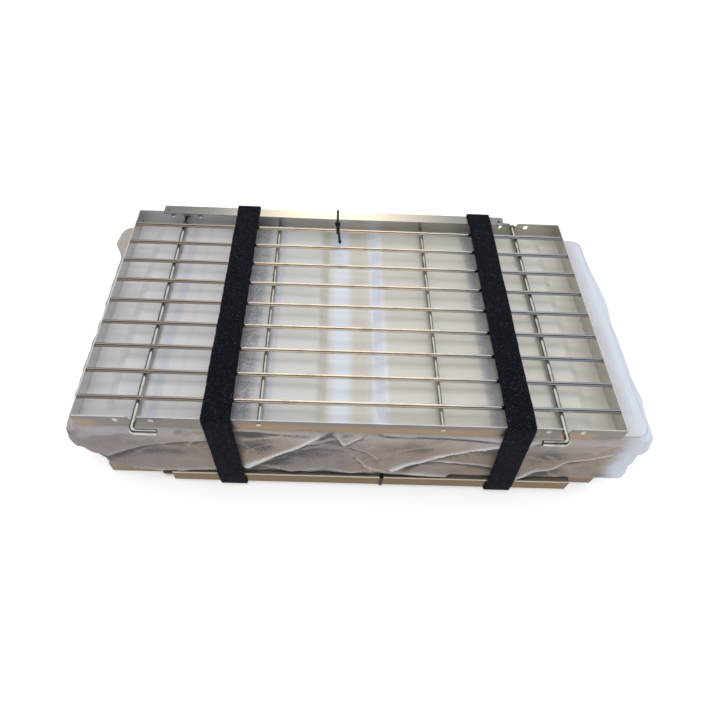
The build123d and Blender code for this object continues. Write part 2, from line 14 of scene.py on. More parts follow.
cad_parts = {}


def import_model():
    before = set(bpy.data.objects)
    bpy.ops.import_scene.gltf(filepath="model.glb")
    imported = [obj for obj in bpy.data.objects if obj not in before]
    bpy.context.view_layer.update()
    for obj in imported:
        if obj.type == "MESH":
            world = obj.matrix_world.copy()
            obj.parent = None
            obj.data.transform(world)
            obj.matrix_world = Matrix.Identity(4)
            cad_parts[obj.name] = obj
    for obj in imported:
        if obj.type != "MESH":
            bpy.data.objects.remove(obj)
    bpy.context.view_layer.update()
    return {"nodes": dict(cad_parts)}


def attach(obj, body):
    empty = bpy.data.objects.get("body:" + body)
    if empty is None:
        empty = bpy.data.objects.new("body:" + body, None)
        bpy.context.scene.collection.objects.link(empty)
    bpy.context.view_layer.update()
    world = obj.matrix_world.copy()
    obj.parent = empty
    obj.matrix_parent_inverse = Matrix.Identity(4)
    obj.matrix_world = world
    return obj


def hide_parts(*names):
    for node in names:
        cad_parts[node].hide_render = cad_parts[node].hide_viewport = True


MM = 0.001
BUNDLE_CENTRE = (9.0, -2.1)  # middle of the footprint from the middle of the upper rack, mm

Pair = tuple[float, float]
Triple = tuple[float, float, float]
Colour = Triple

log = logging.getLogger("folding_stove")


class Axis(Enum):
    """Directions that a grain or a run can follow."""

    X = 0
    Y = 1
    Z = 2


class Rack(Enum):
    """The two side racks and the names of their CAD nodes."""

    UPPER = "upper_rack"
    LOWER = "lower_rack"


def bundle(x: float, y: float, z: float) -> Triple:
    """Turns millimetres from the middle of the upper rack into metres in the shared frame.

    Args:
        x: Distance to the right.
        y: Distance to the rear.
        z: Height over the ground.

    Returns:
        The same point in metres, in the frame of the whole bundle.
    """
    return ((x - BUNDLE_CENTRE[0]) * MM, (y - BUNDLE_CENTRE[1]) * MM, z * MM)


# Node trees


class Channel:
    """A number or vector in a node tree, with ordinary arithmetic."""

    def __init__(self, graph: "Graph", socket: Any) -> None:
        """Keeps the tree and the socket that carries the value."""
        self.graph = graph
        self.socket = socket

    def __add__(self, other: Any) -> "Channel":
        """Sum, from either side."""
        return self.graph.math("ADD", self, other)

    __radd__ = __add__

    def __sub__(self, other: Any) -> "Channel":
        """Difference."""
        return self.graph.math("SUBTRACT", self, other)

    def __rsub__(self, other: Any) -> "Channel":
        """Difference from a plain number."""
        return self.graph.math("SUBTRACT", other, self)

    def __mul__(self, other: Any) -> "Channel":
        """Product, from either side."""
        return self.graph.math("MULTIPLY", self, other)

    __rmul__ = __mul__

    def __neg__(self) -> "Channel":
        """Opposite."""
        return self * -1.0

    def sine(self) -> "Channel":
        """Sine of the value in radians."""
        return self.graph.math("SINE", self)

    def size(self) -> "Channel":
        """Absolute value."""
        return self.graph.math("ABSOLUTE", self)

    def step(self, low: float, high: float) -> "Channel":
        """Smooth step from 0 at low to 1 at high.

        Args:
            low: The value that gives 0.
            high: The value that gives 1.

        Returns:
            The step.
        """
        inputs = {"Value": self, "From Min": low, "From Max": high}
        made = self.graph.out("ShaderNodeMapRange", inputs, interpolation_type="SMOOTHSTEP")
        return Channel(self.graph, made)


class Graph:
    """A node tree and the methods that add nodes to it."""

    def __init__(self, tree: bpy.types.NodeTree) -> None:
        """Keeps the tree."""
        self.tree = tree

    def node(self, kind: str, inputs: dict[Any, Any] | None = None, **settings: Any) -> Any:
        """Adds a node, sets it up and joins or sets its inputs.

        Args:
            kind: Blender's name of the node type.
            inputs: Input names or numbers, each with a value, a Channel or a socket.
            **settings: Properties of the node itself.

        Returns:
            The new node.
        """
        made = self.tree.nodes.new(kind)
        for name, setting in settings.items():
            setattr(made, name, setting)
        for name, value in (inputs or {}).items():
            target = made.inputs[name]
            if isinstance(value, Channel):
                value = value.socket
            if isinstance(value, bpy.types.NodeSocket):
                self.tree.links.new(value, target)
            else:
                target.default_value = value
        return made

    def out(self, kind: str, inputs: dict[Any, Any] | None = None, **settings: Any) -> Any:
        """Adds a node, as above, and gives its first output."""
        return self.node(kind, inputs, **settings).outputs[0]

    def math(self, operation: str, *values: Any) -> Channel:
        """Adds a Math node over one or two values."""
        inputs = dict(enumerate(values))
        return Channel(self, self.out("ShaderNodeMath", inputs, operation=operation))

    def object_point(self) -> Channel:
        """The point in the shared frame, in metres."""
        return Channel(self, self.node("ShaderNodeTexCoord").outputs["Object"])

    def attribute(self, name: str) -> Channel:
        """A number that the mesh carries at each point."""
        made = self.node("ShaderNodeAttribute", attribute_name=name, attribute_type="GEOMETRY")
        return Channel(self, made.outputs["Fac"])

    def axis(self, point: Channel, axis: Axis) -> Channel:
        """One coordinate of a point."""
        return Channel(self, self.node("ShaderNodeSeparateXYZ", {0: point}).outputs[axis.value])

    def scaled(self, point: Channel, scale: Sequence[float]) -> Channel:
        """A point stretched by a different amount along each axis."""
        inputs = {"Vector": point, "Scale": tuple(scale)}
        return Channel(self, self.out("ShaderNodeMapping", inputs))

    def noise(
        self, point: Channel, scale: float, detail: float = 2.0, rough: float = 0.5
    ) -> Channel:
        """Soft noise from 0 to 1 at so many features a metre."""
        inputs = {"Vector": point, "Scale": scale, "Detail": detail, "Roughness": rough}
        return Channel(self, self.node("ShaderNodeTexNoise", inputs).outputs["Fac"])

    def streaks(
        self,
        point: Channel,
        grain: Axis,
        fine: float,
        long: float,
        detail: float,
        rough: float = 0.5,
    ) -> Channel:
        """Noise drawn out along a grain.

        Args:
            point: Where it is read.
            grain: The axis that the streaks follow.
            fine: Features a metre across them.
            long: Features a metre along them.
            detail: Number of finer layers.
            rough: Strength of those layers.

        Returns:
            The noise from 0 to 1.
        """
        scale = [fine] * 3
        scale[grain.value] = long
        return self.noise(self.scaled(point, scale), 1.0, detail, rough)

    def cells(self, point: Channel, scale: float) -> Channel:
        """Distance to the nearest of scattered points, for dimples and pits."""
        made = self.node("ShaderNodeTexVoronoi", {"Vector": point, "Scale": scale})
        return Channel(self, made.outputs["Distance"])

    def blend(self, share: Channel, first: Any, second: Any) -> Channel:
        """Mixes two colours.

        Args:
            share: How much of the second colour shows.
            first: The colour at 0.
            second: The colour at 1.

        Returns:
            The mixed colour.
        """
        inputs = {0: share}
        for index, value in ((6, first), (7, second)):
            inputs[index] = value if isinstance(value, Channel) else (*value, 1.0)
        return Channel(self, self.node("ShaderNodeMix", inputs, data_type="RGBA").outputs[2])

    def eased(self, share: Channel, normal: Channel, facing: Channel) -> Channel:
        """Turns a normal towards straight up, or down where the face looks down.

        Args:
            share: How far it turns, from 0 to 1.
            normal: The normal that is turned.
            facing: The face's own normal.

        Returns:
            The turned normal, of length 1.
        """
        side = self.math("SIGN", self.axis(facing, Axis.Z))
        upright = self.out("ShaderNodeCombineXYZ", {2: side})
        inputs = {0: share, 4: normal, 5: upright}
        mixed = self.node("ShaderNodeMix", inputs, data_type="VECTOR").outputs[1]
        return Channel(self, self.out("ShaderNodeVectorMath", {0: mixed}, operation="NORMALIZE"))

    def bump(self, height: Channel, distance: float, under: Channel | None = None) -> Channel:
        """A bumped normal from a height in units of the distance, in metres.

        Args:
            height: The height.
            distance: What a height of 1 stands for, in metres.
            under: The bump under this one, if any.

        Returns:
            The normal.
        """
        inputs: dict[str, Any] = {"Height": height, "Distance": distance, "Strength": 1.0}
        if under is not None:
            inputs["Normal"] = under
        return Channel(self, self.out("ShaderNodeBump", inputs))


# Finishes


def blank_material(name: str) -> tuple[bpy.types.Material, Graph]:
    """Makes an empty material and the graph of its nodes.

    Args:
        name: The material's name.

    Returns:
        The material and its graph.
    """
    material = bpy.data.materials.new(name)
    material.use_nodes = True
    material.node_tree.nodes.clear()
    return material, Graph(material.node_tree)


@dataclass(frozen=True)
class Finish:
    """What every finish has: a name, and a way to make its material from its inputs."""

    name: str

    def inputs(self, graph: Graph, point: Channel) -> dict[str, Any]:
        """What goes into the shader. Each finish gives its own.

        Args:
            graph: The material's graph.
            point: The point in the shared frame.

        Returns:
            The inputs by name, as channels or plain values.
        """
        raise NotImplementedError

    def build(self) -> bpy.types.Material:
        """Makes the material.

        Returns:
            The material.
        """
        material, graph = blank_material(self.name)
        inputs = self.inputs(graph, graph.object_point())
        shader = graph.out("ShaderNodeBsdfPrincipled", inputs)
        graph.node("ShaderNodeOutputMaterial", {"Surface": shader})
        return material


@dataclass(frozen=True)
class PaintedLightBand:
    """A soft stripe of painted light across a rack's plate: painted shade and reflections.

    Attributes:
        middle: Its middle along x, in metres.
        half: Its half width, in metres.
        colour: Its tint.
        strength: How strong it is, from 0 to 1.
        specks: How much it breaks up into fine specks, from 0 to 1.
    """

    middle: float
    half: float
    colour: Colour
    strength: float = 0.7
    specks: float = 0.0

    def lay(
        self, graph: Graph, along: Channel, fine: Channel, flat: Channel, under: Any
    ) -> Channel:
        """Lays the stripe of painted light over a colour.

        Args:
            graph: The material's graph.
            along: Distance along x, which may wander a little.
            fine: Fine noise from 0 to 1 for the specks.
            flat: 1 on the flats and 0 on the walls.
            under: The colour under the stripe.

        Returns:
            The colour with the stripe.
        """
        share = (along - self.middle).size().step(self.half, self.half * 0.25) * flat
        share = share * self.strength
        if self.specks:
            share = share * (1.0 - self.specks * fine.step(0.40, 0.62))
        return graph.blend(share, under, self.colour)


@dataclass(frozen=True)
class BrushedSheet(Finish):
    """Rolled and brushed sheet metal with a grain along x, and painted reflections and highlights.

    Attributes:
        colour: The bright colour.
        dull_colour: The colour of its duller streaks and clouds.
        roughness: The middle roughness.
        wave_depth: Depth of the soft waves across the sheet, in metres.
        warm_reflection_colour: The painted warm reflection at the foot of the front wall, if any.
        wall_reflection_grey: The painted grey reflection on the rest of that wall, and on the rear
            wall.
        warm_reflection_below: The height under which the wall gets the painted warm reflection, in
            metres.
        warm_reflection_spans: Stretches along x with the painted warm reflection, in metres;
            without any, it is patchy.
        bend_highlight: How strongly the bends are painted a pale cream highlight, and made less
            metallic, than the flats.
        glare: The middle and half length of the stretch painted bright cream, a painted glare
            highlight, in metres.
        flat_metal: How metallic its flats are. A fine matt skin makes them less so.
        right_reflection_tint: The painted warmer reflection on the flats at the right end, if it
            differs.
        painted_light_bands: Soft stripes of painted shade and painted reflections across the flats.
    """

    colour: Colour
    dull_colour: Colour
    roughness: float = 0.36
    wave_depth: float = 0.0006
    warm_reflection_colour: Colour | None = None
    wall_reflection_grey: Colour = (0.215, 0.20, 0.19)
    warm_reflection_below: float = 0.098
    warm_reflection_spans: tuple[Pair, ...] = ()
    bend_highlight: float = 0.0
    glare: Pair | None = None
    flat_metal: float = 1.0
    right_reflection_tint: Colour | None = None
    painted_light_bands: tuple[PaintedLightBand, ...] = ()

    def inputs(self, graph: Graph, point: Channel) -> dict[str, Any]:
        """Colour, share of metal, roughness and a brushed, wavy normal.

        Args:
            graph: The material's graph.
            point: The point in the shared frame.

        Returns:
            The shader's inputs by name.
        """
        face = graph.node("ShaderNodeNewGeometry")
        facing = Channel(graph, face.outputs["True Normal"])
        upward = graph.axis(facing, Axis.Z).size()
        flat = upward.step(0.4, 0.6)
        bend = upward.step(0.985, 0.94) * flat
        scratches = graph.streaks(point, Axis.X, 2600.0, 22.0, 3.0, 0.6)
        smears = graph.noise(point, 60.0, 3.0, 0.6)
        waves = graph.noise(graph.scaled(point, (17.0, 1.6, 17.0)), 1.0, 1.0, 0.4)
        fine = graph.bump(scratches, 0.000012)
        grain = graph.bump(graph.noise(point, 330.0, 3.0, 0.6), 0.00003, under=fine)
        wavy = graph.bump(waves, self.wave_depth, under=grain)
        colour = self.walls(graph, point, facing, self.flats(graph, point, flat))
        rough = self.roughness + (scratches - 0.5) * 0.08 + (smears - 0.5) * 0.10 + bend * 0.12
        return {
            # Painted highlight: the bends are blended towards pale cream and made less metallic.
            "Base Color": graph.blend(bend * self.bend_highlight, colour, (0.95, 0.88, 0.72)),
            "Metallic": 1.0 - self.bend_highlight * bend - flat * (1.0 - self.flat_metal),
            "Roughness": rough,
            "Normal": graph.eased(bend * 0.86, wavy, facing),
        }

    def flats(self, graph: Graph, point: Channel, flat: Channel) -> Channel:
        """The sheet's own colour with its clouds, its painted right-end reflection and its painted
        stripes.

        Args:
            graph: The material's graph.
            point: The point in the shared frame.
            flat: 1 on the flats and 0 on the walls.

        Returns:
            The colour.
        """
        along = graph.axis(point, Axis.X)
        streaks = graph.streaks(point, Axis.X, 420.0, 6.0, 2.0)
        clouds = graph.noise(point, 16.0, 3.0, 0.55)
        share = (streaks * 0.35 + clouds * 0.65).step(0.36, 0.68)
        colour = graph.blend(share, self.colour, self.dull_colour)
        # Painted reflection: the flats turn warmer towards the right end.
        if self.right_reflection_tint is not None:
            colour = graph.blend(along.step(-0.14, 0.05), colour, self.right_reflection_tint)
        if self.painted_light_bands:
            wander = (graph.noise(point, 9.0, 2.0, 0.5) - 0.5) * 0.007
            specks = graph.noise(point, 640.0, 2.0, 0.6)
            for band in self.painted_light_bands:
                colour = band.lay(graph, along + wander, specks, flat, colour)
        # Painted highlight: a stretch along x is painted bright cream as glare.
        if self.glare is not None:
            away = (along - self.glare[0]).size()
            colour = graph.blend(away.step(self.glare[1], 0.0), colour, (1.0, 0.95, 0.82))
        return colour

    def walls(self, graph: Graph, point: Channel, facing: Channel, colour: Channel) -> Channel:
        """Paints reflections on the outer walls: warm on the front, facing the warm room, grey on
        the rear.

        Args:
            graph: The material's graph.
            point: The point in the shared frame.
            facing: The face's own normal.
            colour: The colour of the flats.

        Returns:
            The colour with the tinted walls.
        """
        if self.warm_reflection_colour is None:
            return colour
        depth, outward = graph.axis(point, Axis.Y), graph.axis(facing, Axis.Y)
        front = (-outward).step(0.5, 0.9) * (-depth).step(0.120, 0.122)
        rear = outward.step(0.5, 0.9) * depth.step(0.120, 0.122)
        # Painted reflections: warm at the foot of the front wall, grey above it; the rear wall goes
        # 62% to grey.
        tint = graph.blend(self.warm_reflection_share(graph, point), self.wall_reflection_grey, self.warm_reflection_colour)
        colour = graph.blend(front, colour, tint)
        return graph.blend(rear * 0.62, colour, self.wall_reflection_grey)

    def warm_reflection_share(self, graph: Graph, point: Channel) -> Channel:
        """How much painted warm reflection the wall gets: most at its foot, in its spans or in
        patches.

        Args:
            graph: The material's graph.
            point: The point in the shared frame.

        Returns:
            The share from 0 to 1.
        """
        foot = graph.axis(point, Axis.Z).step(self.warm_reflection_below, self.warm_reflection_below - 0.007)
        patches = graph.noise(graph.scaled(point, (8.0, 1.0, 1.0)), 1.0, 1.0, 0.4)
        if not self.warm_reflection_spans:
            return foot * (0.25 + patches.step(0.38, 0.56) * 0.75)
        along = graph.axis(point, Axis.X) + (patches - 0.5) * 0.01
        warm: Any = 0.0
        for start, end in self.warm_reflection_spans:
            inside = along.step(start - 0.008, start) * along.step(end + 0.012, end)
            warm = graph.math("MAXIMUM", warm, inside)
        return foot * (warm * 0.88 + 0.10)


@dataclass(frozen=True)
class DrawnWire(Finish):
    """Bright round wire, drawn along one axis, with faint dull patches and any painted end
    reflections.
    """

    colour: Colour
    dull_colour: Colour
    roughness: float = 0.16
    grain: Axis = Axis.X
    end_reflection_tints: tuple[Colour, Colour] | None = None

    def inputs(self, graph: Graph, point: Channel) -> dict[str, Any]:
        """Colour, roughness and faint drawing lines, all metal.

        Args:
            graph: The material's graph.
            point: The point in the shared frame.

        Returns:
            The shader's inputs by name.
        """
        lines = graph.streaks(point, self.grain, 1800.0, 30.0, 2.0)
        patches = graph.noise(point, 70.0, 3.0, 0.6)
        colour = graph.blend(patches.step(0.45, 0.72), self.colour, self.dull_colour)
        # Painted reflections of the room: the wire turns another tint towards each end.
        if self.end_reflection_tints is not None:
            along = graph.axis(point, Axis.X)
            for (start, end), tint in zip(((-0.07, -0.13), (0.04, 0.13)), self.end_reflection_tints):
                colour = graph.blend(along.step(start, end), colour, tint)
        return {
            "Base Color": colour,
            "Metallic": 1.0,
            "Roughness": self.roughness + (patches - 0.5) * 0.12 + (lines - 0.5) * 0.06,
            "Normal": graph.bump(lines, 0.000006),
        }


@dataclass(frozen=True)
class LoopPile(Finish):
    """Black webbing with a fuzzy loop pile."""

    colour: Colour
    tip_colour: Colour

    def inputs(self, graph: Graph, point: Channel) -> dict[str, Any]:
        """Paler tips on a deep, rough pile with a little sheen.

        Args:
            graph: The material's graph.
            point: The point in the shared frame.

        Returns:
            The shader's inputs by name.
        """
        tufts = graph.cells(point, 1100.0)
        fluff = graph.noise(point, 520.0, 4.0, 0.65)
        specks = graph.noise(point, 850.0, 2.0, 0.7)
        share = ((fluff - 0.5) * 1.0 + (specks - 0.5) * 1.2).step(0.04, 0.40)
        return {
            "Base Color": graph.blend(share, self.colour, self.tip_colour),
            "Roughness": 0.94,
            "Normal": graph.bump(fluff * 0.8 - tufts * 0.6, 0.0009),
            "Sheen Weight": 0.06,
            "Sheen Roughness": 0.5,
            "Sheen Tint": (0.32, 0.36, 0.5, 1.0),
            "Specular IOR Level": 0.12,
        }


@dataclass(frozen=True)
class HookTape(Finish):
    """Black woven tape with rows of small plastic hooks."""

    colour: Colour

    def inputs(self, graph: Graph, point: Channel) -> dict[str, Any]:
        """A fine weave of hooks in rows.

        Args:
            graph: The material's graph.
            point: The point in the shared frame.

        Returns:
            The shader's inputs by name.
        """
        across = (graph.axis(point, Axis.X) * (2 * math.pi / 0.0016)).sine()
        upward = (graph.axis(point, Axis.Z) * (2 * math.pi / 0.0013)).sine()
        weave = across * upward
        return {
            "Base Color": graph.blend(weave.step(-0.6, 0.9), self.colour, (0.035, 0.036, 0.042)),
            "Roughness": 0.62,
            "Normal": graph.bump(weave, 0.0003),
            "Specular IOR Level": 0.22,
        }


@dataclass(frozen=True)
class SpunFabric(Finish):
    """Thin white non-woven fabric that lets the metal show through, with painted fold highlights
    and shade.

    Attributes:
        raised: The colour where it stands clear in a fold, also that of the painted fold
            highlights.
        loose: The colour where it hangs just off the metal.
        warm: The warmer colour that mottles it there.
        lying: The colour where it lies on the metal, also that of the painted shade below folds.
        lit: The painted glow at the open end, where light comes through.
    """

    raised: Colour
    loose: Colour
    warm: Colour
    lying: Colour
    lit: Colour

    def inputs(self, graph: Graph, point: Channel) -> dict[str, Any]:
        """Cloth paler off the metal, with painted fold highlights and shade, and a painted glow at
        its open end.

        Args:
            graph: The material's graph.
            point: The point in the shared frame.

        Returns:
            The shader's inputs by name.
        """
        lifted_and_shaded, open_end = graph.attribute("lift"), graph.attribute("glow")
        blotch = graph.noise(graph.scaled(point, (60.0, 60.0, 110.0)), 1.0, 2.0, 0.5)
        fibres = graph.noise(point, 900.0, 4.0, 0.7)
        dots = graph.cells(point, 620.0)
        mottle = graph.noise(point, 13.0, 2.0, 0.5).step(0.36, 0.64)
        # Painted light: the sides are paler towards their top, just under the rack.
        painted_light_under_rack = graph.axis(point, Axis.Z).step(0.056, 0.080) * 0.30
        hanging = graph.blend(painted_light_under_rack, graph.blend(mottle, self.loose, self.warm), self.raised)
        # The mesh's paleness carries painted light: highlights along the folds, shade below them.
        height = lifted_and_shaded + (blotch - 0.5) * 0.2 + (fibres - 0.5) * 0.34 + (0.35 - dots) * 0.12
        under = graph.blend(height.step(0.10, 0.42), self.lying, hanging)
        cloth = graph.blend(height.step(0.48, 1.05), under, self.raised)
        # Painted glow: the open end is blended towards the bluish lit colour.
        through = open_end * (1.12 + (blotch - 0.5) * 0.5)
        soft = graph.bump(lifted_and_shaded, 0.0024)
        return {
            "Base Color": graph.blend(through.step(0.0, 1.0), cloth, self.lit),
            "Roughness": 0.72,
            "Normal": graph.bump(fibres * 0.6 - dots * 0.9, 0.00035, under=soft),
            "Subsurface Weight": 0.10,
            "Subsurface Radius": (0.003, 0.003, 0.003),
            "Subsurface Scale": 1.0,
            "Sheen Weight": 0.12,
            "Specular IOR Level": 0.35,
        }


@dataclass(frozen=True)
class MouldedPlastic(Finish):
    """Plain moulded plastic with a faint grain."""

    colour: Colour
    roughness: float = 0.55

    def inputs(self, graph: Graph, point: Channel) -> dict[str, Any]:
        """One colour with a faint grain.

        Args:
            graph: The material's graph.
            point: The point in the shared frame.

        Returns:
            The shader's inputs by name.
        """
        grain = graph.noise(point, 900.0, 2.0, 0.5)
        return {
            "Base Color": graph.blend(grain.step(0.3, 0.8), self.colour, (0.012, 0.012, 0.014)),
            "Roughness": self.roughness + (grain - 0.5) * 0.15,
            "Normal": graph.bump(grain, 0.00005),
            "Specular IOR Level": 0.25,
        }


RACK_SHEET = BrushedSheet(
    "rack_sheet",
    (0.73, 0.725, 0.735),
    (0.67, 0.665, 0.67),
    roughness=0.46,
    wave_depth=0.003,
    # painted warm reflection of the room on the front wall's foot, in three spans
    warm_reflection_colour=(0.33, 0.24, 0.155),
    warm_reflection_spans=((-0.260, -0.224), (-0.098, 0.106), (0.171, 0.190)),
    flat_metal=0.3,
    right_reflection_tint=(0.70, 0.68, 0.63),
    # Painted light: dark stripes paint shade and reflections by the straps and wires, pale ones
    # reflections.
    painted_light_bands=(
        PaintedLightBand(-0.172, 0.006, (0.48, 0.54, 0.64), 0.55, 0.3),
        PaintedLightBand(-0.156, 0.004, (0.50, 0.52, 0.58), 0.28, 0.8),
        PaintedLightBand(-0.101, 0.013, (0.13, 0.155, 0.21), 0.74, 0.45),
        PaintedLightBand(-0.079, 0.004, (0.52, 0.58, 0.68), 0.5),
        PaintedLightBand(-0.034, 0.006, (0.52, 0.45, 0.36), 0.30),
        PaintedLightBand(-0.018, 0.013, (0.80, 0.86, 0.97), 0.85),
        PaintedLightBand(-0.001, 0.008, (0.66, 0.58, 0.45), 0.3),
        PaintedLightBand(0.017, 0.010, (0.80, 0.86, 0.97), 0.85),
        PaintedLightBand(0.113, 0.007, (0.22, 0.26, 0.34), 0.6, 0.5),
        PaintedLightBand(0.137, 0.009, (0.72, 0.78, 0.88), 0.6),
    ),
)
# The lower rack's warm brown is a painted reflection of the warm room around it.
LOWER_SHEET = BrushedSheet(
    "lower_rack_sheet",
    (0.55, 0.48, 0.40),
    (0.42, 0.35, 0.27),
    warm_reflection_colour=(0.21, 0.135, 0.07),
    wall_reflection_grey=(0.25, 0.18, 0.115),
)
STRIP_SHEET = BrushedSheet(
    "strip_sheet", (0.29, 0.295, 0.30), (0.235, 0.235, 0.24), roughness=0.26, glare=(-0.03, 0.15)
)
LOWER_STRIP_SHEET = BrushedSheet(
    "lower_strip_sheet",
    (0.50, 0.48, 0.46),
    (0.38, 0.365, 0.34),
    # painted warm-brown reflection on the strip's front face, in patches
    warm_reflection_colour=(0.18, 0.115, 0.045),
    wall_reflection_grey=(0.185, 0.12, 0.06),
    # a painted cream highlight along the strip's bend
    bend_highlight=0.9,
)
FIREBOX_SHEET = BrushedSheet("firebox_sheet", (0.66, 0.64, 0.61), (0.58, 0.55, 0.52))
LONG_ROD = DrawnWire(
    "long_rod_wire",
    # Painted reflections: cream in the middle, brownish grey at the left end, bluish grey at the
    # right.
    (0.84, 0.79, 0.68),
    (0.66, 0.61, 0.52),
    roughness=0.11,
    end_reflection_tints=((0.46, 0.42, 0.37), (0.48, 0.51, 0.56)),
)
CROSS_WIRE = DrawnWire(
    "cross_wire", (0.55, 0.54, 0.51), (0.36, 0.35, 0.325), roughness=0.10, grain=Axis.Y
)
STRAP_PILE = LoopPile("strap_loop_pile", (0.0045, 0.005, 0.0075), (0.050, 0.057, 0.078))
STRAP_HOOKS = HookTape("strap_hook_tape", (0.006, 0.006, 0.008))
BAG_FABRIC = SpunFabric(
    "bag_fabric",
    raised=(0.80, 0.77, 0.77),
    loose=(0.315, 0.280, 0.265),
    warm=(0.360, 0.300, 0.245),
    lying=(0.115, 0.107, 0.106),
    lit=(0.74, 0.79, 0.87),
)
TIE_PLASTIC = MouldedPlastic("tie_plastic", (0.004, 0.004, 0.005))


# Meshes


def place_object(name: str, data: Any) -> bpy.types.Object:
    """Makes an object of its data at the origin and puts it into the scene.

    Args:
        name: The object's name.
        data: Its data.

    Returns:
        The new object.
    """
    made = bpy.data.objects.new(name, data)
    bpy.context.scene.collection.objects.link(made)
    return made


def mesh_piece(
    name: str,
    points: np.ndarray,
    faces: Iterable[Sequence[int]],
    material: bpy.types.Material,
    smooth: bool = True,
) -> bpy.types.Object:
    """Makes a mesh object at the origin from its points and faces.

    Args:
        name: The piece's name.
        points: One row of x, y and z in metres for each point.
        faces: Point numbers of each face, anticlockwise from outside.
        material: Its only material.
        smooth: Whether its faces are shaded smooth.

    Returns:
        The new object, in the scene.
    """
    mesh = bpy.data.meshes.new(name)
    mesh.from_pydata([tuple(row) for row in points], [], [tuple(face) for face in faces])
    mesh.polygons.foreach_set("use_smooth", [smooth] * len(mesh.polygons))
    mesh.materials.append(material)
    mesh.update()
    return place_object(name, mesh)


def rounded_path(
    corners: Sequence[np.ndarray], radii: Sequence[float], turns: int = 7
) -> np.ndarray:
    """Rounds the corners of a closed path.

    Args:
        corners: The corners in order.
        radii: The rounding radius at each corner.
        turns: How many points each rounding gets.

    Returns:
        The points of the rounded path.
    """
    points = []
    for index, here in enumerate(corners):
        back = corners[index - 1] - here
        ahead = corners[(index + 1) % len(corners)] - here
        back, ahead = back / np.linalg.norm(back), ahead / np.linalg.norm(ahead)
        opening = math.acos(float(np.clip(back @ ahead, -1, 1)))
        reach = radii[index] / math.tan(opening / 2)
        start, end = here + back * reach, here + ahead * reach
        for share in np.linspace(0, 1, turns):
            first = start + (here - start) * share
            second = here + (end - here) * share
            points.append(first + (second - first) * share)
    return np.array(points)


def path_curve(name: str, points: np.ndarray, closed: bool) -> bpy.types.Object:
    """A poly curve through the points, in metres, for a geometry tree to follow.

    Args:
        name: The curve's name.
        points: Its points, in metres.
        closed: Whether the curve is a ring.

    Returns:
        The curve's object.
    """
    curve = bpy.data.curves.new(name, "CURVE")
    curve.dimensions = "3D"
    spline = curve.splines.new("POLY")
    spline.points.add(len(points) - 1)
    spline.points.foreach_set("co", np.column_stack([points, np.ones(len(points))]).ravel())
    spline.use_cyclic_u = closed
    return place_object(name, curve)


@dataclass
class GeometryTree:
    """A geometry tree with named inputs, and the way to turn its result into a plain mesh."""

    name: str
    sizes: dict[str, float]
    graph: Graph = field(init=False)
    source: Any = field(init=False)

    def __post_init__(self) -> None:
        """Makes the tree with its geometry sockets and one input for each size."""
        tree = bpy.data.node_groups.new(self.name, "GeometryNodeTree")
        sockets = tree.interface
        sockets.new_socket("Geometry", in_out="INPUT", socket_type="NodeSocketGeometry")
        for name, value in self.sizes.items():
            socket = sockets.new_socket(name, in_out="INPUT", socket_type="NodeSocketFloat")
            socket.default_value = value
        sockets.new_socket("Geometry", in_out="OUTPUT", socket_type="NodeSocketGeometry")
        self.graph = Graph(tree)
        self.source = self.graph.node("NodeGroupInput")

    def value(self, name: str) -> Channel:
        """One of the named inputs."""
        return Channel(self.graph, self.source.outputs[name])

    def end(self, geometry: Any, material: bpy.types.Material) -> None:
        """Closes the tree with Realize Instances, smooth shading and a material.

        Args:
            geometry: The geometry so far.
            material: The piece's material.
        """
        real = self.graph.out("GeometryNodeRealizeInstances", {0: geometry})
        smooth = self.graph.out("GeometryNodeSetShadeSmooth", {0: real})
        inputs = {"Geometry": smooth, "Material": material}
        dressed = self.graph.out("GeometryNodeSetMaterial", inputs)
        self.graph.node("NodeGroupOutput", {0: dressed})

    def grow(self, guide: bpy.types.Object, name: str) -> bpy.types.Object:
        """Runs the tree on a guide and keeps the result as a plain mesh.

        Args:
            guide: The curve or points that the tree works on. It is removed afterwards.
            name: The finished piece's name.

        Returns:
            The finished piece, at the origin.
        """
        modifier = guide.modifiers.new(self.name, "NODES")
        modifier.node_group = self.graph.tree
        for item in self.graph.tree.interface.items_tree:
            if item.in_out == "INPUT" and item.name in self.sizes:
                modifier[item.identifier] = self.sizes[item.name]
        bpy.context.view_layer.update()
        evaluated = guide.evaluated_get(bpy.context.evaluated_depsgraph_get())
        mesh = bpy.data.meshes.new_from_object(evaluated)
        mesh.name = name
        piece = place_object(name, mesh)
        bpy.data.objects.remove(guide)
        log.info("%s: %d faces", name, len(mesh.polygons))
        return piece


def dress_node(node: bpy.types.Object, material: bpy.types.Material) -> None:
    """Gives a CAD node its one finish."""
    node.data.materials.clear()
    node.data.materials.append(material)


# Racks


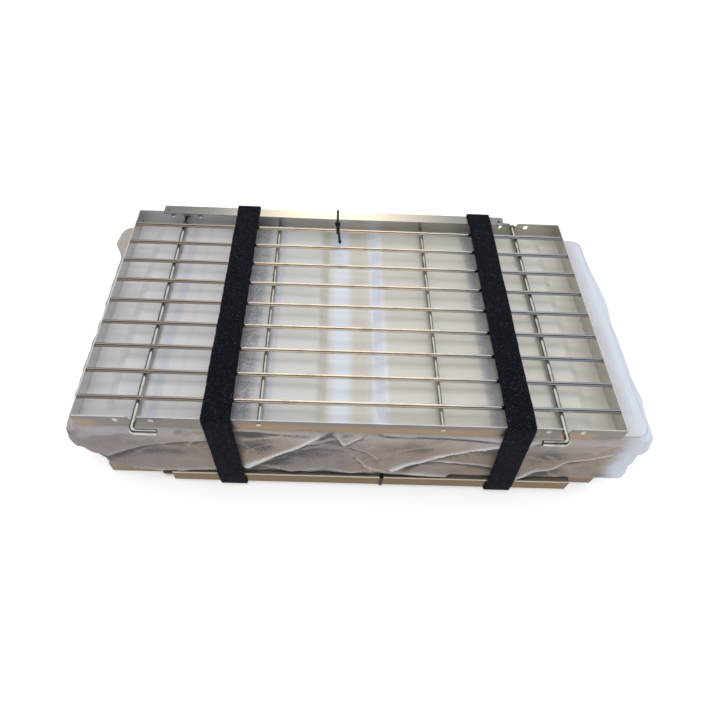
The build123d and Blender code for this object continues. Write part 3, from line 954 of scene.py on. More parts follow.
@dataclass
class RackDress:
    """One side rack: a stamped tray, its rods and wires, and the welds where they cross."""

    rack: Rack
    middle: Pair
    rod_z: float
    wire_z: float
    sheet: BrushedSheet
    rods: int = 9
    rod_pitch: float = 26.35
    wire_x: float = 75.0
    end_x: float = 223.5
    spot_radius: float = 1.7
    end_radius: float = 2.5

    def dress(self, nodes: dict[str, bpy.types.Object]) -> None:
        """Gives the rack's CAD nodes their finishes and adds the welds.

        Args:
            nodes: The CAD nodes by name.
        """
        name = self.rack.value
        rod_finish = LONG_ROD.build()
        wire_finish = CROSS_WIRE.build()
        dress_node(nodes[f"{name}_tray"], self.sheet.build())
        for number in range(1, self.rods + 1):
            dress_node(nodes[f"{name}_rod_{number}"], rod_finish)
        for side in ("left", "right"):
            dress_node(nodes[f"{name}_{side}_cross_wire"], wire_finish)
            dress_node(nodes[f"{name}_{side}_hook"], wire_finish)
        spots = self.crossings(self.wire_x, (self.rod_z + self.wire_z) / 2)
        ends = self.crossings(self.end_x, self.rod_z)
        self.beads(f"{name}_spot_welds", spots, self.spot_radius, (1.1, 1.0, 0.62), wire_finish)
        self.beads(f"{name}_end_welds", ends, self.end_radius, (0.5, 1.0, 0.94), wire_finish)

    def crossings(self, reach: float, height: float) -> list[Triple]:
        """The points of every rod at one distance either side of the rack's middle.

        Args:
            reach: The distance from the middle, mm.
            height: The height of the points, mm.

        Returns:
            The points, in metres.
        """
        half = (self.rods - 1) / 2
        rows = self.middle[1] + np.arange(-half, half + 1) * self.rod_pitch
        columns = (self.middle[0] - reach, self.middle[0] + reach)
        return [bundle(x, float(y), height) for x in columns for y in rows]

    def beads(
        self, name: str, places: list[Triple], radius: float, stretch: Triple, material: Any
    ) -> None:
        """Makes a small uneven bead of weld at every place, all as one piece.

        Args:
            name: The piece's name.
            places: The beads' middles, in metres.
            radius: Their radius, mm.
            stretch: How far they are stretched along x, y and z.
            material: Their material.
        """
        stretches = dict(zip(("Along", "Across", "Up"), stretch))
        tree = GeometryTree("weld_beads", {"Bead Radius": radius * MM, **stretches})
        graph = tree.graph
        ball = {"Segments": 10, "Rings": 6, "Radius": tree.value("Bead Radius")}
        bead = graph.out("GeometryNodeMeshUVSphere", ball)
        spread = {2: 0.88, 3: 1.12, "Seed": 7}
        random = graph.node("FunctionNodeRandomValue", spread, data_type="FLOAT")
        size = Channel(graph, random.outputs[1])
        parts = {index: tree.value(key) * size for index, key in enumerate(stretches)}
        shape = graph.out("ShaderNodeCombineXYZ", parts)
        inputs = {"Points": tree.source.outputs[0], "Instance": bead, "Scale": shape}
        tree.end(graph.out("GeometryNodeInstanceOnPoints", inputs), material)
        mesh = bpy.data.meshes.new(name)
        mesh.from_pydata(places, [], [])
        piece = tree.grow(place_object(name + "_places", mesh), name)
        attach(piece, "pack")


@dataclass
class StripsAndTies:
    """The two angle strips that travel with the racks, and the ties that hold them."""

    knot_places: tuple[tuple[Triple, Triple], ...] = (
        ((-14.0, 112.2, 101.4), (3.0, 3.6, 2.6)),
        ((-13.4, 106.6, 101.6), (1.8, 3.0, 1.6)),
        ((-11.6, 86.2, 101.2), (1.7, 1.3, 1.2)),
        ((31.8, -135.8, 20.8), (2.0, 1.7, 1.4)),
    )

    def dress(self, nodes: dict[str, bpy.types.Object]) -> None:
        """Gives the strips and ties their finishes and adds the knots.

        Args:
            nodes: The CAD nodes by name.
        """
        dress_node(nodes["rear_angle_strip"], STRIP_SHEET.build())
        dress_node(nodes["front_angle_strip"], LOWER_STRIP_SHEET.build())
        plastic = TIE_PLASTIC.build()
        for name in ("rear_strip_tie", "front_strip_tie"):
            dress_node(nodes[name], plastic)
        knots = self.knots(plastic)
        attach(knots, "pack")

    def knots(self, material: bpy.types.Material) -> bpy.types.Object:
        """Makes the lumpy knots where each tie's ends cross.

        Args:
            material: Their material.

        Returns:
            The knots, as one piece.
        """
        mesh = bmesh.new()
        for place, size in self.knot_places:
            ball = bmesh.ops.create_icosphere(mesh, subdivisions=3, radius=1.0)["verts"]
            for vert in ball:
                lump = 1.0 + 0.22 * noise.noise(vert.co * 1.7 + Vector(place) * 0.1)
                spot = [place[axis] + vert.co[axis] * size[axis] * lump for axis in range(3)]
                vert.co = Vector(bundle(*spot))
        bmesh.ops.recalc_face_normals(mesh, faces=mesh.faces)
        data = bpy.data.meshes.new("tie_knots")
        mesh.to_mesh(data)
        mesh.free()
        data.polygons.foreach_set("use_smooth", [True] * len(data.polygons))
        data.materials.append(material)
        return place_object("tie_knots", data)


@dataclass
class Firebox:
    """The folded firebox inside the bag: its sheet pieces, and those of wire."""

    sheets: tuple[str, ...] = (
        *("firebox_base_pan", "firebox_top_pan", "firebox_door", "cook_plate_lid", "flue_collar"),
        *("left_side_panel", "right_side_panel", "front_panel", "back_panel"),
        *("door_latch", "air_inlet_slide", "front_left_leg", "front_right_leg"),
        *("rear_left_leg", "rear_right_leg"),
    )
    wires: tuple[str, ...] = (
        *("fire_grate", "door_hinge_pin", "left_panel_hinge_pin", "right_panel_hinge_pin"),
    )

    def dress(self, nodes: dict[str, bpy.types.Object]) -> None:
        """Gives the firebox's pieces their finishes.

        Args:
            nodes: The CAD nodes by name.
        """
        for finish, names in ((FIREBOX_SHEET, self.sheets), (CROSS_WIRE, self.wires)):
            material = finish.build()
            for name in names:
                dress_node(nodes[name], material)


# Straps


@dataclass
class Strap:
    """A hook-and-loop strap that goes once round the bundle."""

    side: str
    x: float
    drift: float
    width: float = 24.0
    thickness: float = 2.4
    inner: tuple[Pair, ...] = (
        (-125.3, 100.6),
        (132.5, 102.4),
        (132.5, 87.8),
        (122.3, 2.0),
        (-128.3, 2.0),
        (-136.7, 5.8),
        (-136.7, 20.4),
    )
    radii: tuple[float, ...] = (3.0, 2.6, 5.0, 3.0, 4.0, 3.0, 6.0)
    step: float = 1.6
    tail: Pair = (22.0, 68.0)
    tail_slant: float = 1.007  # length of the tail for each mm of its height
    drift_top: float = 101.0
    drift_depth: float = 260.0

    def place(self, y: float, z: float) -> Triple:
        """The band's middle at one place of its run: it drifts aside low down in front."""
        aside = self.drift * (1 - z / self.drift_top) * (0.5 - y / self.drift_depth)
        return bundle(self.x + aside, y, z)

    @staticmethod
    def outward(run: np.ndarray) -> np.ndarray:
        """The direction out of the bundle, square to a stretch of the run."""
        return np.array((-run[1], run[0])) / np.linalg.norm(run)

    def centre_line(self) -> np.ndarray:
        """The closed middle line of the band, in metres, anticlockwise from the right.

        Returns:
            Its points.
        """
        inner = np.array(self.inner)
        corners = []
        for index, corner in enumerate(inner):
            back = self.outward(corner - inner[index - 1])
            ahead = self.outward(inner[(index + 1) % len(inner)] - corner)
            middle = back + ahead
            middle /= middle @ back
            corners.append(corner + middle * self.thickness / 2)
        return np.array([self.place(y, z) for y, z in rounded_path(corners, self.radii)])

    def tail_line(self) -> np.ndarray:
        """The middle line of the hook tape on the outside of the rear run.

        Returns:
            Its points, in metres.
        """
        upper, lower = np.array(self.inner[2]), np.array(self.inner[3])
        run = lower - upper
        outward = self.outward(run)
        points = []
        for z in np.linspace(self.tail[1], self.tail[0], 24):
            spot = upper + run * (z - upper[1]) / run[1] + outward * self.thickness * 1.5
            points.append(self.place(spot[0], spot[1]))
        return np.array(points)

    def band_tree(self, name: str, fuzz: float, sway: float, finish: Finish) -> GeometryTree:
        """A tree that sweeps a rounded flat profile along a guide.

        Args:
            name: The tree's name.
            fuzz: How far the pile stands up, mm.
            sway: How far the edges wander, mm.
            finish: The band's finish.

        Returns:
            The tree.
        """
        sizes = {
            "Width": self.width * MM,
            "Thickness": self.thickness * MM,
            "Edge Radius": self.thickness * 0.42 * MM,
            "Step": self.step * MM,
            "Fuzz": fuzz * MM,
            "Sway": sway * MM,
        }
        tree = GeometryTree(name, sizes)
        graph, step = tree.graph, tree.value("Step")
        resample = "GeometryNodeResampleCurve"
        inputs = {"Curve": tree.source.outputs[0], "Length": step}
        even = graph.out(resample, inputs, mode="LENGTH")
        inputs = {"Curve": even, "Normal": (1.0, 0.0, 0.0)}
        upright = graph.out("GeometryNodeSetCurveNormal", inputs, mode="FREE")
        inputs = {"Width": tree.value("Width"), "Height": tree.value("Thickness")}
        flat = graph.out("GeometryNodeCurvePrimitiveQuadrilateral", inputs)
        inputs = {"Curve": flat, "Count": 4, "Radius": tree.value("Edge Radius")}
        soft = graph.out("GeometryNodeFilletCurve", inputs, mode="POLY")
        profile = graph.out(resample, {"Curve": soft, "Length": step * 0.8}, mode="LENGTH")
        inputs = {"Curve": upright, "Profile Curve": profile, "Fill Caps": True}
        swept = graph.out("GeometryNodeCurveToMesh", inputs)
        spot = Channel(graph, graph.out("GeometryNodeInputPosition"))
        normal = graph.out("GeometryNodeInputNormal")
        pile = (graph.noise(spot, 380.0, 3.0, 0.6) - 0.5) * tree.value("Fuzz") * 2.0
        raised = graph.out("ShaderNodeVectorMath", {0: normal, "Scale": pile}, operation="SCALE")
        wander = (graph.noise(spot, 26.0, 2.0, 0.5) - 0.5) * tree.value("Sway") * 2.0
        aside = graph.out("ShaderNodeCombineXYZ", {0: wander})
        offset = graph.out("ShaderNodeVectorMath", {0: raised, 1: aside}, operation="ADD")
        moved = graph.out("GeometryNodeSetPosition", {"Geometry": swept, "Offset": offset})
        tree.end(moved, finish.build())
        return tree

    def build(self) -> None:
        """Makes the band and its hook tape."""
        body = f"{self.side}_strap"
        line = self.centre_line()
        band_tree = self.band_tree("loop_band", 0.42, 0.9, STRAP_PILE)
        guide = path_curve(f"{self.side}_band_path", line, closed=True)
        band = band_tree.grow(guide, f"{self.side}_strap_webbing")
        tape_tree = self.band_tree("hook_tape", 0.05, 0.2, STRAP_HOOKS)
        guide = path_curve(f"{self.side}_tape_path", self.tail_line(), closed=False)
        tape = tape_tree.grow(guide, f"{self.side}_strap_tail")
        for piece in (band, tape):
            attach(piece, body)
        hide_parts(f"{self.side}_strap_band")
        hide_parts(f"{self.side}_strap_hook_tape")
        self.width * MM
        self.width * MM


# Bag


FOLD_FALL = 1.4  # how steeply a fold falls away from its line
FOLD_HIGHLIGHT_EDGE = 1.2  # half width of the painted highlight along a fold's edge, mm


@dataclass(frozen=True)
class Crest:
    """A fold line on one side of the bag.

    Attributes:
        points: Distance along the side and height of each point of the line, mm.
        rise: How far it stands out, mm.
        width: Its half width, mm.
        lift: How much paler the cloth is on it, partly a painted highlight, and how much painted
            shade falls below.
        slack: How much wider its upper side is than its lower side.
    """

    points: tuple[Pair, ...]
    rise: float
    width: float
    lift: float = 0.6
    slack: float = 1.5

    def share(self, along: np.ndarray, height: np.ndarray) -> np.ndarray:
        """How near each point is to the line, from 0 to 1.

        Args:
            along: Distance of each point along the side, mm.
            height: Height of each point, mm.

        Returns:
            The shares.
        """
        nearest = np.full(along.shape, 1e9)
        for first, last in zip(self.points[:-1], self.points[1:]):
            start = np.array(first)
            run = np.array(last) - start
            reach = (along - start[0]) * run[0] + (height - start[1]) * run[1]
            part = np.clip(reach / float(run @ run), 0, 1)
            over = height - start[1] - part * run[1]
            gap = np.hypot(along - start[0] - part * run[0], over)
            gap = np.where(over > 0, gap / self.slack, gap * self.slack)
            nearest = np.minimum(nearest, gap)
        return np.exp(-((nearest / self.width) ** FOLD_FALL))

    def line(self, share: np.ndarray) -> np.ndarray:
        """The thin painted highlight along the fold's edge, from the shares of the fold."""
        gap = self.width * (-np.log(np.clip(share, 1e-6, 1))) ** (1 / FOLD_FALL)
        return np.exp(-((gap / FOLD_HIGHLIGHT_EDGE) ** 2))


def fine_creases(seed: int, along: Pair, count: int) -> tuple[Crest, ...]:
    """Short faint creases scattered over one side of the bag.

    Args:
        seed: Seed of their places.
        along: The range of the side that they cover, mm.
        count: How many there are.

    Returns:
        The creases.
    """
    dice = np.random.default_rng(seed)
    creases = []
    for _ in range(count):
        spot = np.array((dice.uniform(*along), dice.uniform(26, 78)))
        heading = dice.uniform(-0.9, 0.9)
        points = [tuple(spot)]
        for _ in range(3):
            heading += dice.uniform(-0.35, 0.35)
            spot = spot + np.array((math.cos(heading), math.sin(heading))) * dice.uniform(6, 15)
            points.append(tuple(spot))
        rise, lift = dice.uniform(0.5, 1.3), dice.uniform(0.14, 0.38)
        creases.append(Crest(tuple(points), rise, dice.uniform(2.0, 3.6), lift))
    return tuple(creases)


@dataclass(frozen=True)
class Patch:
    """A place where the cloth lies on the metal and shows it, with painted shade: middle, reach and
    strength.
    """

    middle: Pair
    reach: Pair
    strength: float = 0.8

    def share(self, along: np.ndarray, height: np.ndarray) -> np.ndarray:
        """How far each point is inside the patch, from 0 to 1.

        Args:
            along: Distance of each point along the side, mm.
            height: Height of each point, mm.

        Returns:
            The shares.
        """
        across = (along - self.middle[0]) / self.reach[0]
        up = (height - self.middle[1]) / self.reach[1]
        return self.strength * np.exp(-(across**2) - up**2)


FRONT_PATCHES = (
    Patch((-84, 74), (14, 7), 0.9),
    Patch((-76, 54), (22, 10), 0.8),
    Patch((-44, 42), (24, 7), 0.75),
    Patch((-14, 52), (15, 7), 0.5),
    Patch((60, 56), (26, 7), 0.45),
    Patch((118, 52), (26, 6), 0.6),
    Patch((-160, 40), (26, 6), 0.5),
    Patch((176, 46), (18, 7), 0.5),
    Patch((28, 36), (16, 6), 0.5),
    Patch((-130, 78), (30, 4), 0.3),
)
FRONT_CRESTS = (
    Crest(
        ((-12.6, 92), (-20.1, 84), (-37.5, 68), (-54.2, 54), (-77.2, 36), (-88, 30)),
        6.4, 6.4, 1.1, 2.6,
    ),
    Crest(((-12.6, 90), (-10.4, 78), (-5.0, 65)), 3.4, 3.2, 1.0),
    Crest(((-5.0, 65), (6, 74), (14, 86)), 2.4, 3.0, 0.7),
    Crest(((-97.2, 81.5), (-65.9, 80.0), (-24.7, 82.0)), 2.2, 2.2, 0.8),
    Crest(((20.9, 86.0), (29.8, 82.0), (63.2, 81.0), (96.8, 80.5), (160, 78.0)), 2.6, 2.6, 1.0),
    Crest(((-212.3, 36.9), (-183.2, 51.7), (-154.7, 61.9), (-124.6, 67.3)), 3.8, 6.0, 0.45, 2.0),
    Crest(((-191.8, 24), (-157.4, 22), (-121.6, 25), (-93.1, 29.3), (-76, 29)), 2.4, 3.5, 0.35),
    Crest(((-76, 29), (-50, 24), (-22, 27), (6, 24), (30, 28)), 2.2, 3.0, 0.35),
    Crest(
        ((150, 74), (130.1, 71), (101.8, 61.2), (80.7, 50.3), (63.9, 39.3), (40, 28)),
        4.2, 5.0, 0.9, 2.2,
    ),
    Crest(((63.9, 39.3), (70.7, 41.0), (96.5, 38.0), (124.9, 34.0), (150, 32)), 3.0, 3.0, 0.6, 1.6),
    Crest(((8, 40), (16, 30), (32.9, 26), (55.7, 25), (90, 23)), 2.6, 3.0, 0.5),
    Crest(
        ((152.4, 22), (168.7, 29.6), (185.2, 32.7), (195, 43.6), (211.8, 50), (228, 60)),
        3.4, 4.0, 0.7,
    ),
    Crest(((4, 58), (16, 52), (26, 40)), 2.4, 3.0, 0.5),
    Crest(((-228, 66), (-196, 74), (-150, 76)), 2.0, 8.0, 0.25),
)
REAR_CRESTS = (
    Crest(((-200, 30), (-150, 44), (-96, 70), (-60, 80)), 4.5, 7.0, 0.6),
    Crest(((-40, 28), (-10, 52), (36, 66), (70, 82)), 4.5, 7.0, 0.7),
    Crest(((60, 26), (100, 34), (140, 56), (190, 62)), 4.0, 6.0, 0.5),
    Crest(((-120, 26), (-80, 38), (-30, 34), (10, 26)), 3.0, 4.0, 0.4),
    Crest(((180, 80), (206, 58), (226, 34)), 3.6, 6.0, 0.5),
    Crest(((-222, 76), (-190, 62), (-170, 40)), 3.6, 5.0, 0.5),
)
RIGHT_CRESTS = (
    Crest(((-126, 60), (-80, 70), (-20, 66), (50, 74), (110, 66)), 2.4, 6.0, 0.6),
    Crest(((-124, 38), (-70, 46), (0, 40), (70, 50), (118, 44)), 2.2, 6.0, 0.4),
    Crest(((-110, 24), (-60, 30), (10, 24)), 3.0, 5.0, 0.3),
    Crest(((-90, 84), (-60, 64), (-44, 40)), 2.6, 5.0, 0.4),
    Crest(((20, 84), (40, 60), (70, 30)), 2.6, 6.0, 0.4),
)
LEFT_CRESTS = (
    Crest(((98, 78), (124, 80)), 17.0, 12.0, 0.6, slack=1.0),
    Crest(((-118, 74), (-60, 66), (0, 72), (70, 64), (110, 76)), 3.6, 8.0, 0.5),
    Crest(((-120, 48), (-70, 40), (-10, 50), (60, 42), (116, 50)), 3.6, 7.0, 0.4),
    Crest(((-40, 80), (-20, 56), (10, 34)), 2.4, 5.0, 0.4),
)
SIDE_CREASES = (  # front, right, rear and left, each with the axis that it follows
    (FRONT_CRESTS + fine_creases(3, (-225, 225), 46), Axis.X),
    (RIGHT_CRESTS + fine_creases(5, (-120, 110), 26), Axis.Y),
    (REAR_CRESTS + fine_creases(8, (-225, 225), 46), Axis.X),
    (LEFT_CRESTS + fine_creases(9, (-120, 110), 20), Axis.Y),
)


@dataclass
class StorageBag:
    """The thin bag round the folded firebox, slack and creased, held between the racks.

    Attributes:
        left, right, front, rear, bottom, top: Its box before the insets, mm.
        corner: Radius of its upright corners, mm.
        cloth: Thickness of the cloth, mm.
        flat: Its length and width when laid flat, m. Not used.
        levels: Share of the height, and the left, right, front and rear insets there, mm.
        side_steps, run_steps, corner_steps: How finely it is divided.
        side_power: How much closer its rings lie at the foot of the side wall.
        side_reach: Full depth of the folds from a side, and the run over which they end, mm.
        fold_overlap: Share of the lower of two crossing folds that adds to the higher one.
        fold_paling_and_highlight: How much a fold pales the cloth, and how much its edge does as a
            painted highlight.
        shade: Least rise with a shade below it, the shade's reach in fold widths, its strength.
        hollow: How deep a patch sinks, mm, and how much it darkens, the metal showing and painted
            shade.
        end_fades: Shares of the height over which the folds fade at the bottom and the top.
        rear_tuck: Start, run and depth of the tuck towards the rear of the right end, mm.
        rack_end, free_run: Where the cloth is free of the racks, and how soon, mm.
        cap_insets: Rings of the top and bottom, mm in from their edge.
        pucker: What is added to the creases of the free top, mm, and the share that shows.
        crease_inset, crease_rise: The ring of the top that is creased at its right end, mm.
        tip: Middle, half width and rise of the loose tip at the rear left, mm.
        strap_inner, strap_rear: The straps' front and rear runs, as height and depth, mm.
        strap_sweep: The stretch along x in which the straps slide, mm.
        strap_gaps: Room under the straps, and what the cloth may pass them by beside it, mm.
        open_end: Start and run of the open end, which gets a painted glow of light coming through,
            mm.
    """

    left: float = -240.0
    right: float = 258.0
    front: float = -130.0
    rear: float = 127.5
    bottom: float = 18.65
    top: float = 83.95
    corner: float = 10.0
    cloth: float = 0.4
    flat: Pair = (0.66, 0.56)
    levels: tuple[tuple[float, float, float, float, float], ...] = (
        (0.00, 26.0, 6.0, 9.5, 9.0),
        (0.02, 25.0, 4.0, 7.5, 8.0),
        (0.035, 24.0, 2.0, 0.5, 7.5),
        (0.06, 23.0, -1.0, -2.4, 7.0),
        (0.10, 21.0, -2.0, -1.2, 6.5),
        (0.15, 18.0, -2.0, 1.5, 6.0),
        (0.25, 9.0, -1.0, 4.2, 5.5),
        (0.35, 3.0, -2.0, 5.2, 5.5),
        (0.55, -2.0, -4.0, 5.6, 5.5),
        (0.70, -2.0, -4.0, 5.6, 5.5),
        (0.85, 5.0, -3.0, 5.8, 6.0),
        (0.94, 11.0, 0.0, 5.4, 6.8),
        (1.00, 18.0, 5.0, 8.0, 8.5),
    )
    side_steps: int = 46
    side_power: float = 1.15
    run_steps: tuple[float, ...] = (1.5, 2.6, 3.4, 3.0)
    corner_steps: int = 8
    side_reach: Pair = (7.0, 8.0)
    fold_overlap: float = 0.3
    fold_paling_and_highlight: Pair = (0.26, 0.5)
    shade: Triple = (2.0, 1.2, 0.62)
    hollow: Pair = (1.5, 0.30)
    end_fades: Pair = (0.05, 0.12)
    rear_tuck: Triple = (50.0, 70.0, 10.0)
    rack_end: float = 226.5
    free_run: float = 7.0
    cap_insets: tuple[float, ...] = (1.2, 3.0, 6.0, 10.0, 16.0, 26.0, 44.0, 70.0, 100.0)
    pucker: Pair = (0.6, 0.7)
    crease_inset: float = 10.0
    crease_rise: float = 2.8
    tip: Triple = (120.0, 16.0, 8.0)
    strap_inner: tuple[Pair, ...] = ((20.4, -136.7), (100.6, -125.3))
    strap_rear: tuple[Pair, ...] = ((2.0, 122.3), (87.8, 132.5))
    strap_sweep: Pair = (-150.0, 156.0)
    strap_gaps: Pair = (0.6, 3.0)
    open_end: Pair = (226.0, 26.0)

    def outline(self, insets: Sequence[float]) -> tuple[np.ndarray, np.ndarray]:
        """The rounded outline of one level.

        Args:
            insets: How far the left, right, front and rear are drawn in, mm.

        Returns:
            The points and their outward directions.
        """
        left, right = self.left + insets[0], self.right - insets[1]
        front, rear = self.front + insets[2], self.rear - insets[3]
        radius = min(self.corner, (right - left) / 2.2, (rear - front) / 2.2)
        runs = (self.right - self.left, self.rear - self.front) * 2
        sides = (
            ((left + radius, front), (right - radius, front), (0, -1)),
            ((right, front + radius), (right, rear - radius), (1, 0)),
            ((right - radius, rear), (left + radius, rear), (0, 1)),
            ((left, rear - radius), (left, front + radius), (-1, 0)),
        )
        points, outward = [], []
        for side, run, step in zip(sides, runs, self.run_steps):
            start, end, normal = (np.array(value) for value in side)
            for share in np.linspace(0, 1, round(run / step)):
                points.append(start * (1 - share) + end * share)
                outward.append(normal)
            heading = math.atan2(normal[1], normal[0])
            centre = end - normal * radius
            for turn in range(1, self.corner_steps):
                angle = heading + math.pi / 2 * turn / self.corner_steps
                direction = np.array((math.cos(angle), math.sin(angle)))
                points.append(centre + direction * radius)
                outward.append(direction)
        return np.array(points), np.array(outward, float)

    def insets_at(self, share: float) -> list[float]:
        """The insets at a share of the height, smoothly between the listed levels."""
        table = np.array(self.levels)
        return [float(np.interp(share, table[:, 0], table[:, column])) for column in range(1, 5)]

    @staticmethod
    def crumple(points: np.ndarray, height: float) -> np.ndarray:
        """Creases of three sizes at one height, in mm, mostly outward.

        Args:
            points: Horizontal places of the points, mm.
            height: Their common height, mm.

        Returns:
            The rise of each point, mm.
        """
        steps = (Vector((5.3, 2.9, 8.1)), Vector((1.7, 6.4, 3.2)), Vector((8.6, 4.1, 0.9)))
        rough = []
        for x, y in points:
            spot = Vector((x, y, height * 1.25))
            bent = spot + Vector([noise.noise(spot / 30.0 + step) for step in steps]) * 9.0
            broad = noise.noise(bent / 52.0) * 1.6
            middle = 0.4 - abs(noise.noise(bent / 21.0 + Vector((3.1, 7.7, 1.3)))) * 2.0
            small = noise.noise(bent / 7.0 + Vector((9.2, 1.4, 4.4)))
            rough.append(broad + middle * 0.7 + small * 0.22)
        return np.array(rough)

    def near(self, points: np.ndarray, side: int) -> np.ndarray:
        """1 at the front, right, rear or left side, by its number, and 0 away from it.

        Args:
            points: Horizontal places of the points, mm.
            side: The number of the side.

        Returns:
            The shares.
        """
        edges = ((self.front, 1, 1), (self.right, 0, -1), (self.rear, 1, -1), (self.left, 0, 1))
        edge, axis, sign = edges[side]
        depth = (points[:, axis] - edge) * sign
        return 1.0 - np.clip((depth - self.side_reach[0]) / self.side_reach[1], 0, 1)

    def free(self, points: np.ndarray) -> np.ndarray:
        """1 where the cloth is free outside the racks' ends, and 0 between them."""
        return np.clip((np.abs(points[:, 0]) - self.rack_end) / self.free_run, 0, 1)

    def relief(self, points: np.ndarray, heights: np.ndarray) -> tuple[np.ndarray, np.ndarray]:
        """How far the cloth stands out at each point, and how pale it is there, painted light
        included.

        Args:
            points: Horizontal places of the points, mm.
            heights: Their heights, mm.

        Returns:
            The rise in mm and the lift from 0 to 1, with its painted highlights and shade.
        """
        rise, lift, shade = np.zeros((3, len(points)))
        paling, edge_highlight = self.fold_paling_and_highlight
        least, reach, strength = self.shade
        for side, (crests, axis) in enumerate(SIDE_CREASES):
            near, along = self.near(points, side), points[:, axis.value]
            for crest in crests:
                share = crest.share(along, heights) * near
                fold = share * crest.rise
                rise = np.maximum(rise, fold) + np.minimum(rise, fold) * self.fold_overlap
                # Paler on the fold, where the cloth stands off the metal, with a painted highlight
                # along its edge.
                pale = (share * paling + crest.line(share) * edge_highlight) * crest.lift
                lift = np.maximum(lift, pale)
                # Painted shade below each large fold.
                if crest.rise > least:
                    below = crest.share(along, heights + crest.width * reach) * near
                    shade = np.maximum(shade, below * (1 - share) * crest.lift * strength)
        lift = lift - shade * (1 - np.clip(lift, 0, 1)) ** 2
        front, (depth, darkening) = self.near(points, 0), self.hollow
        # The patches sink and darken: the metal shows through, with painted shade in the hollow.
        for patch in FRONT_PATCHES:
            hollow = patch.share(points[:, 0], heights) * front
            rise = rise - hollow * depth * (1 - lift)
            lift = lift - hollow * darkening * (1 - np.clip(lift, 0, 1))
        return rise, lift

    def rows(self) -> tuple[list[np.ndarray], list[np.ndarray]]:
        """Every ring of points from the middle of the bottom to the middle of the top.

        Returns:
            The rings, in mm, and the paleness of each of their points.
        """
        rings = [self.bottom_ring(inset) for inset in reversed(self.cap_insets)]
        ring_lift_and_shading = [np.zeros(len(ring)) for ring in rings]
        for share in np.linspace(0, 1, self.side_steps) ** self.side_power:
            ring, lift = self.side_ring(float(share))
            rings.append(ring)
            ring_lift_and_shading.append(lift)
        for inset in self.cap_insets:
            rings.append(self.top_ring(inset))
            ring_lift_and_shading.append(np.full(len(rings[-1]), 0.8))
        return rings, ring_lift_and_shading

    def bottom_ring(self, inset: float) -> np.ndarray:
        """One ring of the flat bottom, drawn in from its edge."""
        flat, _ = self.outline([value + inset for value in self.insets_at(0.0)])
        return np.column_stack([flat, np.full(len(flat), self.bottom)])

    def top_ring(self, inset: float) -> np.ndarray:
        """One ring of the top, which puckers up a little where the cloth is free.

        Args:
            inset: How far it is drawn in, mm.

        Returns:
            Its points, mm.
        """
        flat, _ = self.outline([value + inset for value in self.insets_at(1.0)])
        free = self.free(flat)
        added, shown = self.pucker
        rise = free * (self.crumple(flat, self.top) + added) * shown
        if inset == self.crease_inset:
            rise += free * (flat[:, 0] > 0) * self.crease_rise
        middle, half, height = self.tip
        tip = np.exp(-(((flat[:, 1] - middle) / half) ** 2)) * (flat[:, 0] < 0)
        return np.column_stack([flat, self.top + (rise + free * tip * height)])

    def side_ring(self, share: float) -> tuple[np.ndarray, np.ndarray]:
        """One ring of the creased side wall and the paleness of its points.

        Args:
            share: Share of the height, from 0 to 1.

        Returns:
            Its points, mm, and how pale each is.
        """
        flat, outward = self.outline(self.insets_at(share))
        height = self.bottom + (self.top - self.bottom) * share
        heights = np.full(len(flat), height)
        rise, lift = self.relief(flat, heights)
        rough = self.crumple(flat, height)
        foot, head = self.end_fades
        ends = np.clip(np.minimum(share / foot, (1 - share) / head), 0, 1)
        ends = ends * ends * (3 - 2 * ends)
        start, run, depth = self.rear_tuck
        tuck = np.clip((flat[:, 1] - start) / run, 0, 1) ** 2 * np.clip(outward[:, 0], 0, 1)
        total = (rise + rough) * ends - tuck * depth
        moved = self.held_in(flat + outward * total[:, None], height)
        droop = rough * 0.5 * ends * (abs(share - 0.5) < 0.40)
        # Raised crumples are paler: partly the cloth standing off the metal, partly a painted
        # highlight.
        paleness = 0.40 + (lift + 0.10 * rough) * ends
        return np.column_stack([moved, heights + droop]), np.clip(paleness, 0, 1.2)

    def held_in(self, points: np.ndarray, height: float) -> np.ndarray:
        """Keeps the cloth inside the straps where they lie or slide.

        Args:
            points: Horizontal places of the points, mm.
            height: Their common height, mm.

        Returns:
            The places, moved where needed.
        """
        room, past = self.strap_gaps
        front = np.interp(height, *zip(*self.strap_inner)) + room
        rear = np.interp(height, *zip(*self.strap_rear)) - room
        swept = (points[:, 0] > self.strap_sweep[0]) & (points[:, 0] < self.strap_sweep[1])
        held = points.copy()
        held[:, 1] = np.maximum(held[:, 1], np.where(swept, front, front - past))
        held[:, 1] = np.minimum(held[:, 1], np.where(swept, rear, rear + past))
        return held

    def build(self) -> None:
        """Makes the bag as a thin double-walled shell."""
        rings, ring_lift_and_shading = self.rows()
        count, total = len(rings[0]), sum(len(ring) for ring in rings)
        centres = [rings[0].mean(axis=0), rings[-1].mean(axis=0)]
        points = np.vstack([*rings, *centres])
        lift = np.concatenate([*ring_lift_and_shading, [0.0, 0.6]])
        pairs = [(here, (here + 1) % count) for here in range(count)]
        faces: list[tuple[int, ...]] = [
            (start + here, start + ahead, start + count + ahead, start + count + here)
            for start in range(0, total - count, count)
            for here, ahead in pairs
        ]
        last = total - count
        for here, ahead in pairs:
            faces += [(ahead, here, total), (last + here, last + ahead, total + 1)]
        metres = np.array([bundle(*point) for point in points])
        bag = mesh_piece("storage_bag_cloth", metres, faces, BAG_FABRIC.build())
